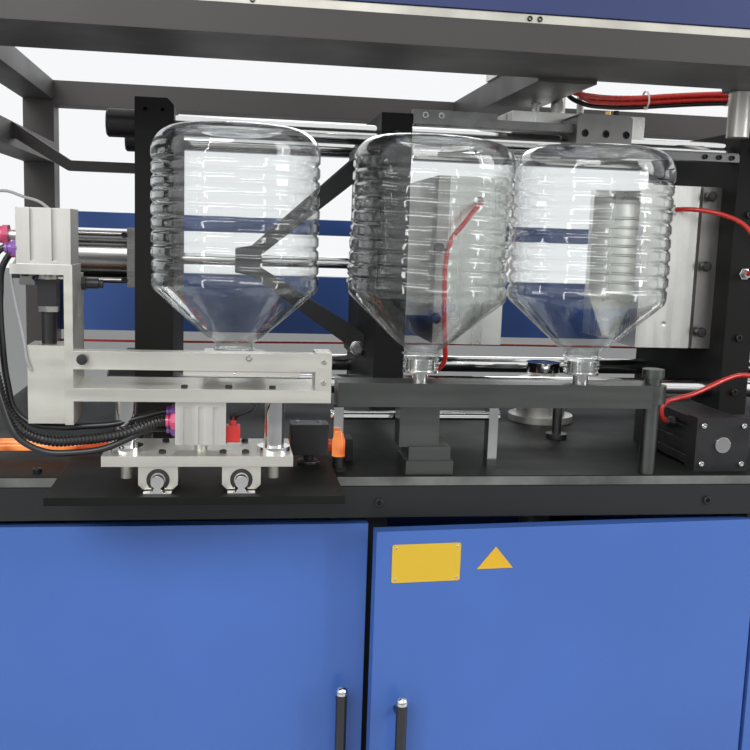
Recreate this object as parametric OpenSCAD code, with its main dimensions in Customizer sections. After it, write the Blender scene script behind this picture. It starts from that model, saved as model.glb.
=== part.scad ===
// Stretch blow moulding machine for large bottles: clamp, blow station and bottle transfer on a cabinet bed.
// X runs along the clamp, Y from the operator's side to the back, Z up. The moulds meet at X = 0.

/* [Machine] */
// Width of the bed and the cabinet
machine_w = 2000; // [1960:10:2200]
// Depth of the bed
bed_d = 840; // [820:10:960]
// Height of the bed's top face above the floor
bed_z = 1000; // [960:10:1080]
// Thickness of the bed plate
bed_t = 15; // [10:1:20]
// Side of the square frame tubes
tube = 60; // [50:5:70]
// Height of the frame's top rails under the bed plate
rail_h = 45; // [40:5:60]
// Gap under the frame that the feet fill
foot_h = 60; // [50:5:80]
// Radius of a foot's pad
foot_r = 32; // [24:1:32]
// Thickness of the sheet metal
sheet_t = 2; // [1.5:0.5:3]

/* [Top frame] */
// Clear height between the bed and the front top beam
window_h = 585; // [575:5:650]
// Height of the front top beam
top_beam_h = 38; // [30:1:60]
// Depth of the front top beam
top_beam_d = 195; // [120:5:210]
// Height of the rear top beam
rear_beam_h = 48; // [40:1:70]
// Width of the beam that carries the base mould
cross_beam_w = 96; // [80:2:110]
// Height of the blue cover above the front top beam
fascia_h = 104; // [80:2:140]
// Height of the recess under the blue cover
fascia_gap = 13; // [8:1:20]

/* [Doors] */
// Width of the left door
left_door_w = 589; // [540:1:600]
// Width of the middle door
middle_door_w = 588; // [540:1:600]
// Depth of a door with its folded edges
door_t = 22; // [18:1:30]
// Gap round each door
door_gap = 4; // [3:0.5:6]
// Gap between the front rail and a door
door_top_gap = 8; // [5:0.5:12]
// Distance from a door's edges to its pivot
pivot_in = 10; // [9:0.5:12]
// Radius of a pivot pin
pivot_r = 5; // [4:0.5:6]
// Angle at which the middle door stands open
door_ajar = 4; // [0:0.5:8]
// Length of a door handle
handle_len = 175; // [120:5:220]
// Radius of a handle's bar
handle_r = 8; // [6:0.5:10]

/* [Clamp] */
// Distance from the bed's front edge to the middle of the clamp
clamp_setback = 430; // [420:5:460]
// Radius of a tie bar
tie_r = 16; // [14:0.5:18]
// Height of the lower tie bars above the bed
tie_low = 86; // [80:1:100]
// Distance between the lower and the upper tie bars
tie_rise = 409; // [400:1:425]
// Distance from the base mould's sides to the tie bars' axes
tie_margin = 23; // [22:0.5:32]
// Metal of a platen in front of its tie bars' axes and behind them
platen_edge = 40; // [35:1:60]
// Thickness of a fixed platen
fixed_platen_t = 59; // [45:1:70]
// Thickness of a moving platen
moving_platen_t = 50; // [40:1:60]
// Metal of a platen above its upper tie bars
platen_top = 37; // [30:1:45]
// Metal of a moving platen below its lower tie bars
platen_foot = 41; // [30:1:50]
// Distance from a fixed platen to the left moving platen, clamp open
platen_gap = 323; // [310:1:340]
// Length of a tie bar nut
nut_l = 46; // [35:1:60]
// Outer radius of a tie bar nut
nut_r = 22; // [20:0.5:26]

/* [Moulds] */
// Clearance beside the bottle when a mould half is open
mould_clear = 11; // [9:0.5:13]
// Depth of the bottle's form in the backing plates, past the mould halves
cavity_in = 11; // [9:0.5:12]
// Metal of the moulds in front of the bottle and behind it
mould_side = 19; // [14:1:26]
// Height of the moulds
mould_h = 282; // [270:1:290]
// Height of the moulds' underside above the bed
mould_low = 155; // [150:1:165]
// Thickness of the left backing plate
left_backing_t = 20; // [18:1:30]
// Thickness of the right backing plate
right_backing_t = 40; // [30:1:50]
// Thickness of the left spacer block
spacer_t = 57; // [40:1:70]
// Radius of a cooling port
port_r = 5; // [4.5:0.5:6]
// Distance from the parting face to a cooling port
port_in = 50; // [40:1:60]

/* [Clamp cylinders] */
// Radius of a piston rod
rod_r = 10; // [9:0.5:12]
// Inner radius of a clamp cylinder
clamp_bore_r = 36; // [32:1:40]
// Wall of a cylinder tube
tube_wall = 6; // [4:0.5:8]
// Thickness of a cylinder's end cap
cap_t = 25; // [20:1:30]
// Side of a cylinder's end cap
cap_w = 100; // [95:1:110]
// Thickness of a piston
piston_t = 20; // [16:1:24]
// Spare stroke inside a cylinder
stroke_spare = 8; // [6:1:14]
// Width of a thrust yoke
yoke_w = 104; // [90:2:120]
// Length of a thrust yoke from its platen to its hub
yoke_l = 211; // [205:1:215]
// Thickness of a yoke's side plates
yoke_plate_t = 12; // [10:1:16]

/* [Rack and pinion] */
// Gear module of the racks and the pinion
gear_m = 1.5; // [1.5:0.1:1.6]
// Number of teeth on the pinion
pinion_teeth = 14; // [14:2:14]
// Width of the racks
rack_w = 18; // [14:1:20]
// Metal of a rack behind its pitch line
rack_back = 14; // [10:1:16]
// Height of the pinion above the upper tie bars
pinion_rise = 5.5; // [4:0.5:7]
// Length of the rack housing
housing_w = 94; // [92:2:110]
// Radius of the counterbores for the housing's screws
screw_head_r = 6; // [5:0.5:6.5]

/* [Base mould] */
// Metal of the base mould beside the bottle
base_mould_side = 6; // [4:0.5:8]
// Height of the base mould
base_mould_h = 53; // [45:1:60]
// Travel of the base mould down to the moulds
base_travel = 60; // [50:1:66]
// Radius of the base mould's lift rod
lift_rod_r = 13; // [11:0.5:14]
// Radius of the base mould's guide rods
base_guide_r = 6.5; // [5:0.5:8]
// Distance between the base mould's guide rods
base_guide_pitch = 84; // [80:2:90]

/* [Blow station] */
// Radius of the blow cylinder
blow_r = 45; // [40:1:50]
// Radius of the nozzle's plunger
nozzle_r = 25; // [22:1:28]
// Travel of the nozzle
nozzle_travel = 20; // [15:1:24]
// Radius of the stretch rod
stretch_r = 6; // [5:0.5:8]
// Travel of the stretch rod
stretch_travel = 270; // [240:5:280]

/* [Bottle] */
// Diameter of the bottle's body
bottle_w = 222; // [214:1:226]
// Height of the bottle from its neck ring to its base
bottle_h = 292; // [284:1:300]
// Height of the bottle's cone above its neck ring
cone_z = 82; // [74:1:90]
// Radius between the cone and the body
cone_round = 14; // [8:1:20]
// Radius round the bottle's base
base_round = 34; // [26:1:36]
// Radius of the hollow in the bottle's base
push_r = 41; // [34:1:46]
// Depth of the hollow in the bottle's base
push_h = 8; // [5:0.5:8]
// Outer radius of the bottle's thread
neck_r = 24; // [22:0.5:25]
// Length of the thread
neck_l = 20; // [16:1:22]
// Radius of the neck ring
ring_r = 27.5; // [26:0.5:30]
// Thickness of the bottle's wall
bottle_wall = 2; // [1.5:0.5:3]
// Spacing of the bottle's ribs
rib_pitch = 18; // [16:1:24]
// Depth of the grooves between the ribs
groove = 3; // [2:0.5:4]

/* [Carrier] */
// Height of the carrier bar's underside above the bed
carrier_low = 102; // [95:1:115]
// Height of the carrier bar
carrier_h = 33; // [26:1:40]
// Depth of the carrier bar
carrier_d = 50; // [44:1:60]
// Distance from the bed's front edge to the bottles' axes
bottle_setback = 5; // [5:1:15]
// Place of the right bottle left of the moulds' parting plane
right_bottle_x = 86; // [82:1:92]
// Gap between the middle and the right bottle
bottle_gap = 12; // [10:1:24]
// Gap between the gripped bottle and the middle one
grip_gap = 35; // [30:1:46]
// Side of the carrier's square post
square_post = 38; // [30:1:44]
// Lean of the middle bottle
bottle_lean = 2; // [0:0.25:2]
// Height of a neck mandrel's stem
mandrel_h = 14; // [10:1:18]
// Radius of the round carrier post
post_r = 12; // [10:0.5:14]

/* [Transfer unit] */
// Distance from the gripped bottle to the transfer unit's middle
grip_in = 41; // [36:1:46]
// Depth of the gripper bar's end bracket
bracket_d = 44; // [36:1:50]
// Width of the base plate
plate_w = 363; // [340:1:380]
// Thickness of the base plate
plate_t = 10; // [8:1:14]
// Overhang of the base plate in front of the bed
plate_overhang = 140; // [120:1:150]
// Distance between the two rails
rail_pitch = 102; // [96:1:110]
// Radius of a rail's shaft
shaft_r = 8; // [6:0.5:9]
// Width of a bearing block
block_w = 48; // [42:1:52]
// Length of a bearing block
block_l = 50; // [40:1:50]
// Travel of the carriage
carriage_travel = 80; // [60:1:85]
// Width of the carriage plate
carriage_w = 234; // [220:1:240]
// Thickness of the carriage plate
carriage_t = 13; // [10:1:16]
// Depth of the carriage plate
carriage_d = 108; // [104:1:116]
// Clear height between the carriage plate and the lift plate
lift_gap = 68; // [60:1:80]
// Thickness of the lift plate
lift_t = 16; // [12:1:20]
// Width of the lift plate
lift_w = 311; // [300:1:320]
// Travel of the lift plate
lift_travel = 20; // [10:1:24]
// Radius of the guide bushes
bush_r = 13; // [11:0.5:15]
// Radius of the guide posts
post_guide_r = 7; // [6:0.5:8]
// Distance between the guide posts
guide_pitch = 184; // [176:1:190]
// Height of the gripper bar
grip_bar_h = 22; // [18:1:26]
// Height of the gripper bar above the lift plate
grip_bar_rise = 23; // [22:1:30]
// Thickness of a gripper jaw
jaw_t = 6; // [5:0.5:8]
// Travel of each jaw
jaw_travel = 15; // [10:1:16]
// Height of the side plate
side_plate_h = 180; // [170:1:190]
// Thickness of the side plate
side_plate_t = 10; // [8:1:14]
// Side of the stroke cylinder
stroke_w = 62; // [56:1:68]
// Height of the stroke cylinder
stroke_h = 66; // [58:1:74]
// Radius of the plunger
plunger_r = 9; // [7:0.5:10]
// Travel of the plunger
plunger_travel = 30; // [20:1:32]

/* [Index cylinder] */
// Width of the index cylinder
index_w = 80; // [70:1:86]
// Length of the index cylinder
index_l = 222; // [200:2:226]
// Place of the index cylinder right of the parting plane
index_x = 148; // [140:1:156]
// Travel of the index rod
index_travel = 100; // [80:1:110]
// Radius of the disc at the front of the index rod
index_disc_r = 12; // [10:0.5:14]

/* [Heater and rails] */
// Radius of a heater lamp
lamp_r = 6; // [5:0.5:7]
// Radius of the chrome guide rod behind the carrier
guide_rod_r = 7; // [6:0.5:8]
// Radius of the air hoses
hose_r = 4; // [3:0.5:5]

/* [Fits] */
// Radial clearance of a running fit
fit = 0.05; // [0.03:0.01:0.08]
// Gap between pieces that only rest near each other
seat = 0.3; // [0.2:0.05:0.4]
// Clearance round pieces that pass freely
free_gap = 1.5; // [1:0.25:2]

/* [Hidden] */
$fn = 48;
half_w = machine_w / 2;
front_y = (plate_overhang - bed_d) / 2;
back_y = front_y + bed_d;
bed_low = bed_z - bed_t;
rail_low = bed_low - rail_h;
frame_w = half_w - sheet_t;
frame_back = back_y - sheet_t;
leg_front = front_y + door_t + 6;
door_top = rail_low - door_top_gap;
door_low = foot_h + tube + 6;
door_front = front_y - sheet_t;
pivot_y = door_front + pivot_in + 1;
left_door_x = -half_w + 24;
left_door_end = left_door_x + left_door_w;
middle_door_x = left_door_end + door_gap;
middle_door_end = middle_door_x + middle_door_w;
panel_x = middle_door_end + door_gap + 3;
left_pivot_x = left_door_x + pivot_in;
middle_pivot_x = middle_door_end - pivot_in;
legs_x = [-frame_w, left_door_end + (door_gap - tube) / 2, middle_door_end + (door_gap - tube) / 2,
    frame_w - tube];
lug_w = 20;
lug_h = 14;
handle_rise = 520;
handle_in = 34;
handle_out = 26;

beam_z = bed_z + window_h;
top_z = beam_z + top_beam_h;
beam_back = front_y + top_beam_d;
side_rail_z = bed_z + 460;
brace_z = bed_z + 425;
brace_t = 16;

clamp_y = front_y + clamp_setback;
mould_open = bottle_w / 2 + mould_clear;
mould_t = bottle_w / 2 - cavity_in;
base_mould_w = bottle_w + 2 * base_mould_side;
mould_d = bottle_w + 2 * mould_side;
tie_spread = base_mould_w + 2 * tie_margin;
platen_d = tie_spread + 2 * platen_edge;
platen_front = clamp_y - platen_d / 2;
mould_front = clamp_y - mould_d / 2;
tie_z = [bed_z + tie_low, bed_z + tie_low + tie_rise];
tie_y = [clamp_y - tie_spread / 2, clamp_y + tie_spread / 2];
piston_z = bed_z + tie_low + tie_rise / 2 - 7;
moving_inner_l = mould_open + mould_t + left_backing_t + spacer_t;
moving_inner_r = mould_open + mould_t + right_backing_t;
moving_outer_l = moving_inner_l + moving_platen_t;
moving_outer_r = moving_inner_r + moving_platen_t;
fixed_inner = moving_outer_l + platen_gap;
fixed_outer = fixed_inner + fixed_platen_t;
tie_end = fixed_outer + nut_l - 11;
platen_high = tie_z[1] + platen_top;
mould_z = bed_z + mould_low;
mould_high = mould_z + mould_h;
mould_ring_z = mould_z - 2;
cylinder_l = 2 * cap_t + piston_t + mould_open + stroke_spare;
hub_l = 30;
hub_w = 40;

rack_front = platen_front;
rack_back_y = rack_front + rack_w;
pinion_x = 4;
pinion_r = gear_m * pinion_teeth / 2;
pinion_z = tie_z[1] + pinion_rise;
gear_add = 0.8 * gear_m;
gear_ded = 1.1 * gear_m;
gear_pitch = PI * gear_m;
backlash = 0.14;
rack_reach = 10;
journal_r = 5;
housing_front = rack_front - 14;
housing_x = -31;

base_rest = mould_high + base_travel;
hanger_t = 15;
base_cylinder_h = 96;

blow_top = bed_z + 80;
nozzle_top = bed_z + 110;
stretch_low = bed_z - 60 - stretch_travel;

bottle_y = front_y + bottle_setback;
middle_bottle_x = right_bottle_x + bottle_w + bottle_gap;
grip_x = -middle_bottle_x - bottle_w - grip_gap;
transfer_x = grip_in - grip_x;
carrier_z = bed_z + carrier_low;
carrier_top = carrier_z + carrier_h;
neck_z = carrier_top + mandrel_h + 2;
ring_z = neck_z + neck_l;
carrier_x0 = -middle_bottle_x - 117;
post_x = 28;
post_y = front_y + 14;
groove_w = 6;
plug_h = 16;
rib_low = cone_z + 20;
rib_high = bottle_h - base_round - 12;
shoulder = [36, 16];
cone_slope = atan2(cone_z - shoulder[1], bottle_w / 2 - shoulder[0]);
foot_in = bottle_w / 2 - base_round - 15;

plate_front = front_y - plate_overhang;
plate_x = -transfer_x - 2 - plate_w / 2;
plate_top = bed_z + plate_t;
shaft_z = plate_top + 16;
block_low = plate_top + 4;
block_top = bed_z + 43;
carriage_y = plate_front + 20;
rail_l = carriage_d + carriage_travel + 19;
carriage_top = block_top + carriage_t;
lift_z = carriage_top + lift_gap;
lift_top = lift_z + lift_t;
lift_x = -transfer_x - lift_w / 2 + 5;
lift_end = lift_x + lift_w;
bar_z = lift_top + grip_bar_rise;
bar_top = bar_z + grip_bar_h;
bar_d = 24;
grip_ring_z = bar_z + 12;
side_z = bar_top - 90;
side_top = side_z + side_plate_h;
side_d = 90;
plunger_x = lift_x - 33;
plunger_y = carriage_y + 34;
knuckle = [22, 24, 32];
guide_block = [43, 50, 95];
flange_t = 12;
stroke_bore_r = 20;
lift_cylinder_w = 62;
lift_cylinder_h = lift_travel + 36;

index_front = front_y + 20;
index_z = bed_z + index_w / 2 + 1;
index_bore_r = 30;
index_rod_r = 9;
lamp_y = front_y + 100;
lamp_x = [40 - half_w, -middle_bottle_x - 80];
lamp_z = bed_z + 20;
guide_rod_y = front_y + 65;
guide_rod_z = bed_z + 75;

// Routes of the hoses, from the faces that they leave to the faces that they meet
ports = [mould_open + port_in, mould_front, mould_high - 42];
low_route_z = tie_z[0] + tie_r + 12;
route_rise = ports[2] - low_route_z;
top_hose_route = [for (p = [[20, -40, 0], [20, -40, -14], [27, -38, -28], [46, -34, -37], [80, -32, -39],
    [130, -32, -37], [190, -34, -31], [260, -40, -25], [340, -52, -21], [430, -76, -19], [520, -116, -18],
    [590, -164, -18], [622, -204, -19], [630, -222, -19]]) [p[0], clamp_y + p[1], top_z + p[2]],
    [630, beam_back, top_z - 19]];
left_hose_route = [for (p = [[0, 6, 1], [0, -8, 1], [4, -22, 0.99], [16, -34, 0.95], [34, -42, 0.87],
    [54, -45, 0.78], [62, -45, 0.66], [62, -44, 0.48], [60, -42, 0.31], [56, -38, 0.16], [54, -28, 0.05],
    [62, -16, 0], [80, -8, 0]]) [-ports[0] - p[0], mould_front + p[1], low_route_z + p[2] * route_rise],
    for (x = [14, 0]) [x - moving_inner_l, mould_front - 6, low_route_z + 1]];
right_hose_route = [for (p = [[0, 6, 0], [0, -8, 0], [6, -22, 1], [22, -36, 1], [46, -48, -2]]) ports + p,
    for (p = [[-18, -10, -9], [6, -21, -22], [22, -29, -43], [28, -33, -67], [29, -31, -87], [27, -24, -99],
    [25, -12, -105], [25, 0, -105]]) [moving_inner_r + p[0], platen_front + p[1], ports[2] + p[2]]];
fitting_end = [plunger_x - stroke_w / 2 - 14, carriage_y + 30, side_top + flange_t + 33];
loom_end = [-transfer_x - lift_cylinder_w / 2, carriage_y + 24, lift_z - 28];
loom_route = [
    for (p = [[0, 0, 0], [-12, 0, 0], [-24, 0, -7], [-30, -1, -24], [-31, -3, -60]]) fitting_end + p,
    for (p = [[-26, -6, 105], [-16, -8, 55], [-2, -10, 11], [20, -14, -14], [50, -18, -22]])
    [fitting_end[0] + p[0], fitting_end[1] + p[1], side_z + p[2]],
    for (p = [[-111, -14, -21], [-75, -15, -16], [-46, -12, -8], [-15, 0, 0], [0, 0, 0]]) loom_end + p];

// Block between two corners
module block(lo, hi) {
    translate(lo) cube([hi[0] - lo[0], hi[1] - lo[1], hi[2] - lo[2]]);
}

// Round bar along X, Y or Z
module round_x(x0, x1, y, z, r) {
    translate([x0, y, z]) rotate([0, 90, 0]) cylinder(r = r, h = x1 - x0);
}
module round_y(y0, y1, x, z, r) {
    translate([x, y1, z]) rotate([90, 0, 0]) cylinder(r = r, h = y1 - y0);
}
module round_z(z0, z1, x, y, r) {
    translate([x, y, z0]) cylinder(r = r, h = z1 - z0);
}

// Tube along a route, with a ring of sides at each of its points
function unit(v) = v / norm(v);
function heading(path, i) = unit(path[min(i + 1, len(path) - 1)] - path[max(i - 1, 0)]);
function side(t) = unit(cross(t, abs(t[1]) < 0.8 ? [0, 1, 0] : [0, 0, 1]));
function ring(path, i, r, sides) = let (t = heading(path, i), u = side(t), v = cross(t, u))
    [for (j = [0:sides - 1]) path[i] + r * (cos(360 * j / sides) * u + sin(360 * j / sides) * v)];
module hose(path, r, sides = 8) {
    last = (len(path) - 1) * sides;
    polyhedron(
        points = [for (i = [0:len(path) - 1]) each ring(path, i, r, sides)],
        faces = concat(
            [[for (j = [0:sides - 1]) j]],
            [[for (j = [sides - 1:-1:0]) last + j]],
            [for (i = [0:len(path) - 2], j = [0:sides - 1])
                let (a = i * sides + j, b = i * sides + (j + 1) % sides)
                each [[b, a, a + sides], [b, a + sides, b + sides]]]
        ),
        convexity = 4
    );
}

// Points of an arc round a centre, from one angle to another
function arc(centre, r, from, to, steps = 6) =
    [for (i = [0:steps]) let (a = from + i * (to - from) / steps) centre + r * [cos(a), sin(a)]];

// Half section of a bottle from the foot of its cone to the middle of its base, drawn in by an inset
function bottle_section(inset) = let (
        r = bottle_w / 2,
        high = bottle_h - inset,
        cone_centre = [r - cone_round, cone_z + cone_round * tan((90 - cone_slope) / 2)],
        base_centre = [r - base_round, bottle_h - base_round]
    ) concat(
        [shoulder + inset * [-sin(cone_slope), cos(cone_slope)]],
        arc(cone_centre, cone_round - inset, cone_slope - 90, 0),
        [for (z = [rib_low:rib_pitch:rib_high - groove_w]) each [[r - inset, z], [r - inset - groove, z + 2],
            [r - inset - groove, z + groove_w - 2], [r - inset, z + groove_w]]],
        arc(base_centre, base_round - inset, 0, 90),
        [[foot_in, high], [push_r, high - push_h], [0, high - push_h]]
    );

// Outer form of a bottle standing on its neck, with its neck ring's underside at height 0
module bottle_form() {
    rotate_extrude() polygon(concat([[0, -neck_l], [neck_r, -neck_l], [neck_r, 0], [ring_r, 0], [ring_r, 3],
        [neck_r, 3], [neck_r, shoulder[1] - 9]], bottle_section(0)));
}

// Hollow bottle, open at its neck
module bottle() {
    mouth_r = neck_r - bottle_wall;
    difference() {
        bottle_form();
        rotate_extrude() polygon(concat([[0, -neck_l - 1], [mouth_r, -neck_l - 1],
            [mouth_r, shoulder[1] - 8]], bottle_section(bottle_wall)));
    }
}

// Welded base frame: eight legs, their rails and the fixed pins that the doors turn on
module base_frame() {
    color("dimgray") {
        for (x = legs_x) {
            block([x, leg_front, foot_h], [x + tube, leg_front + tube, bed_low]);
            block([x, frame_back - tube, foot_h], [x + tube, frame_back, bed_low]);
            block([x, front_y, rail_low], [x + tube, frame_back, bed_low]);
            block([x, leg_front, foot_h], [x + tube, frame_back, foot_h + tube]);
        }
        block([-frame_w, front_y, rail_low], [frame_w, front_y + tube, bed_low]);
        block([-frame_w, frame_back - tube, rail_low], [frame_w, frame_back, bed_low]);
        block([-frame_w, leg_front, foot_h], [frame_w, leg_front + tube, foot_h + tube]);
        block([-frame_w, frame_back - tube, foot_h], [frame_w, frame_back, foot_h + tube]);
        for (x = [left_pivot_x, middle_pivot_x]) {
            block([x - lug_w / 2, door_front + 2, foot_h + tube - 8],
                [x + lug_w / 2, leg_front + 1, foot_h + tube]);
            round_z(foot_h + tube - 4, door_low + sheet_t + lug_h - 2, x, pivot_y, pivot_r);
            round_z(foot_h + tube - 1, door_low - seat, x, pivot_y, pivot_r + 4);
            round_z(door_top - sheet_t - lug_h + 2, rail_low + 4, x, pivot_y, pivot_r);
        }
    }
}

// Levelling feet, one under each leg
module levelling_feet() {
    color("darkgray") for (x = legs_x, y = [leg_front, frame_back - tube])
        translate([x + tube / 2, y + tube / 2, 0]) rotate_extrude() polygon([[0, 0], [foot_r, 0], [foot_r, 9],
            [foot_r / 2, 17], [14, 19], [14, 32], [9, 32], [9, foot_h - 10], [15, foot_h - 10], [15, foot_h],
            [0, foot_h]]);
}

// Steel plate that carries the whole upper machine
module bed_plate() {
    color("darkslategray") difference() {
        block([-half_w, front_y, bed_low], [half_w, back_y, bed_z]);
        round_z(bed_low - 1, bed_z + 1, 0, clamp_y, blow_r - 15 + free_gap);
    }
}

// Blue sheets that close the cabinet, and the two guards behind the clamp
module cabinet_panels() {
    low = foot_h + 10;
    color("royalblue") {
        for (x = [-half_w, frame_w]) block([x, front_y, low], [x + sheet_t, back_y, bed_low]);
        block([1 - frame_w, frame_back, low], [frame_w - 1, back_y, bed_low]);
        difference() {
            block([panel_x, door_front, door_low], [frame_w - tube / 2, leg_front, door_top]);
            block([panel_x + sheet_t, door_front + sheet_t, door_low + sheet_t],
                [frame_w - tube / 2 - sheet_t, leg_front + 1, door_top - sheet_t]);
        }
        for (z = [[114, 240], [331, 365]])
            block([tube - half_w, back_y - 3 * sheet_t, bed_z + z[0]],
                [half_w - tube, back_y - 2 * sheet_t, bed_z + z[1]]);
    }
}

// Welded top frame: corner posts, top beams, side rails, the base mould's beam and the platen braces
module upper_frame() {
    cross_x = -66;
    knee = fixed_outer + 0.56 * (half_w - tube - fixed_outer);
    rear_y = back_y - tube;
    color("dimgray") {
        for (x = [-half_w, half_w - tube]) {
            for (y = [front_y, rear_y]) block([x, y, bed_z], [x + tube, y + tube, top_z]);
            block([x, front_y, beam_z], [x + tube, back_y, top_z]);
            block([x, front_y, side_rail_z], [x + tube, back_y, side_rail_z + 40]);
        }
        block([-half_w, front_y, beam_z], [half_w, beam_back, top_z]);
        block([-half_w, rear_y, top_z - rear_beam_h], [half_w, back_y, top_z]);
        difference() {
            block([cross_x - cross_beam_w / 2, beam_back - 1, beam_z - 5],
                [cross_x + cross_beam_w / 2, rear_y + 1, top_z]);
            round_z(beam_z - 6, top_z + 1, -base_guide_pitch / 2, clamp_y, base_guide_r + 2 * free_gap);
        }
        for (m = [0, 1])
            mirror([m, 0, 0]) translate([0, clamp_y - 10, 0]) rotate([90, 0, 0]) linear_extrude(30)
                polygon([[tube - half_w - 1, side_rail_z + 40], [-knee, brace_z + brace_t],
                    [-fixed_outer, brace_z + brace_t], [-fixed_outer, brace_z], [-knee - 6, brace_z],
                    [tube - half_w - 1, side_rail_z + 16]]);
    }
}

// Folded blue cover on the front top beam
module top_fascia() {
    t = sheet_t;
    y0 = front_y;
    y1 = front_y + 16;
    z1 = top_z + fascia_gap;
    z2 = z1 + fascia_h;
    color("royalblue") translate([half_w, 0, 0]) rotate([90, 0, -90]) linear_extrude(machine_w)
        polygon([for (p = [[y1 + 44, top_z], [y1, top_z], [y1, z1], [y0, z1], [y0, z2], [y1 + 44, z2],
            [y1 + 44, z2 - t], [y0 + t, z2 - t], [y0 + t, z1 + t], [y1 + t, z1 + t], [y1 + t, top_z + t],
            [y1 + 44, top_z + t]]) [-p[0], p[1]]]);
}

// Plate with the bores of the four tie bars
module tie_bores(x0, x1) {
    for (y = tie_y, z = tie_z) round_x(x0 - 1, x1 + 1, y, z, tie_r + fit);
}

// Fixed platens on the bed, left and right
module fixed_platens() {
    chamfer = 7;
    color("dimgray") for (m = [0, 1]) mirror([m, 0, 0]) difference() {
        block([-fixed_outer, platen_front, bed_z], [-fixed_inner, platen_front + platen_d, platen_high]);
        tie_bores(-fixed_outer, -fixed_inner);
        round_x(-fixed_outer - 1, -fixed_inner + 1, clamp_y, piston_z, rod_r + 2 * free_gap);
        translate([-fixed_inner, 0, platen_high]) rotate([0, 45, 0])
            cube([2 * chamfer, 4 * platen_d, 2 * chamfer], center = true);
        for (x = [16, 42]) round_y(platen_front - 1, platen_front + 12, x - fixed_outer, platen_high - 18, 3);
    }
}

// Tie bars that join the fixed platens and guide the moving ones
module tie_bars() {
    color("gainsboro") for (y = tie_y, z = tie_z) round_x(-tie_end, tie_end, y, z, tie_r);
}

// Capped nuts at the ends of the tie bars
module tie_bar_nuts() {
    color("darkslategray") for (m = [0, 1], y = tie_y, z = tie_z) mirror([m, 0, 0])
        translate([fixed_outer, y, z]) rotate([0, 90, 0]) rotate_extrude() polygon([[tie_r + fit, 0],
            [nut_r, 0], [nut_r, nut_l - 3], [nut_r - 3, nut_l], [0, nut_l], [0, nut_l - 11],
            [tie_r + fit, nut_l - 11]]);
}

// Clamp cylinders behind the fixed platens
module clamp_cylinders() {
    x0 = fixed_outer;
    x1 = fixed_outer + cylinder_l;
    stud = cap_w / 2 - 11;
    color("silver") for (m = [0, 1]) mirror([m, 0, 0]) difference() {
        union() {
            for (x = [x0, x1 - cap_t])
                block([x, clamp_y - cap_w / 2, piston_z - cap_w / 2],
                    [x + cap_t, clamp_y + cap_w / 2, piston_z + cap_w / 2]);
            round_x(x0 + 1, x1 - 1, clamp_y, piston_z, clamp_bore_r + tube_wall);
            for (y = [-stud, stud], z = [-stud, stud])
                round_x(x0 + 1, x1 - 1, clamp_y + y, piston_z + z, 5);
        }
        round_x(x0 + cap_t, x1 - cap_t, clamp_y, piston_z, clamp_bore_r);
        round_x(x0 - 1, x0 + cap_t + 1, clamp_y, piston_z, rod_r + fit);
    }
}

// Piston with its rod, from a clamp cylinder to a moving platen
module piston_rod(outer) {
    x1 = fixed_outer + cylinder_l - cap_t - stroke_spare / 2;
    color("gainsboro") {
        round_x(outer, x1 - 1, clamp_y, piston_z, rod_r);
        round_x(x1 - piston_t, x1, clamp_y, piston_z, clamp_bore_r - fit);
    }
}
module left_piston_rod() {
    mirror([1, 0, 0]) piston_rod(moving_outer_l);
}
module right_piston_rod() {
    piston_rod(moving_outer_r);
}

// Thrust yoke: two forked plates from a hub on the piston rod to the moving platen
module thrust_yoke(outer) {
    hub = outer + yoke_l;
    pz = piston_z;
    color("dimgray") difference() {
        union() {
            for (y = [clamp_y - yoke_w / 2 + yoke_plate_t, clamp_y + yoke_w / 2])
                translate([0, y, 0]) rotate([90, 0, 0]) linear_extrude(yoke_plate_t) polygon([
                    [hub + 15, pz + 20], [hub - 15, pz + 26], [outer, pz + 205], [outer, pz + 160],
                    [hub - 30, pz + 12], [hub - 30, pz - 12], [outer, pz - 121], [outer, pz - 162],
                    [hub - 15, pz - 26], [hub + 15, pz - 20]]);
            block([hub - hub_l / 2, clamp_y - yoke_w / 2, pz - hub_w / 2],
                [hub + hub_l / 2, clamp_y + yoke_w / 2, pz + hub_w / 2]);
            for (z = [164, -158])
                block([outer, clamp_y - yoke_w / 2 - 6, pz + z],
                    [outer + 22, clamp_y + yoke_w / 2 + 6, pz + z + 34]);
        }
        round_x(hub - hub_l, hub + hub_l, clamp_y, pz, rod_r + fit);
    }
}
module left_thrust_yoke() {
    mirror([1, 0, 0]) thrust_yoke(moving_outer_l);
}
module right_thrust_yoke() {
    thrust_yoke(moving_outer_r);
}

// Moving platen that slides on the tie bars
module moving_platen(inner) {
    color("dimgray") difference() {
        block([inner, platen_front, tie_z[0] - platen_foot],
            [inner + moving_platen_t, platen_front + platen_d, platen_high - 4]);
        tie_bores(inner, inner + moving_platen_t);
    }
}
module left_moving_platen() {
    mirror([1, 0, 0]) moving_platen(moving_inner_l);
}
module right_moving_platen() {
    moving_platen(moving_inner_r);
}

// Mould holders: backing plates with the deepest part of the cavity, on the left with a spacer
module backing(t) {
    x0 = mould_open + mould_t;
    difference() {
        block([x0, mould_front, mould_z], [x0 + t, mould_front + mould_d, mould_high]);
        translate([mould_open, clamp_y, mould_ring_z]) bottle_form();
    }
}
module left_mould_holder() {
    inner = moving_inner_l - spacer_t;
    color("silver") mirror([1, 0, 0]) {
        backing(left_backing_t);
        block([inner - 1, mould_front + 40, mould_z + 45],
            [moving_inner_l, mould_front + mould_d - 40, mould_high - 37]);
    }
}
module right_mould_holder() {
    x0 = mould_open + mould_t;
    color("silver") difference() {
        backing(right_backing_t);
        for (y = [mould_front - 1, mould_front + mould_d - 13])
            block([x0 - 1, y, mould_z - 1], [x0 + 6, y + 14, mould_high + 1]);
    }
}

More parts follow.
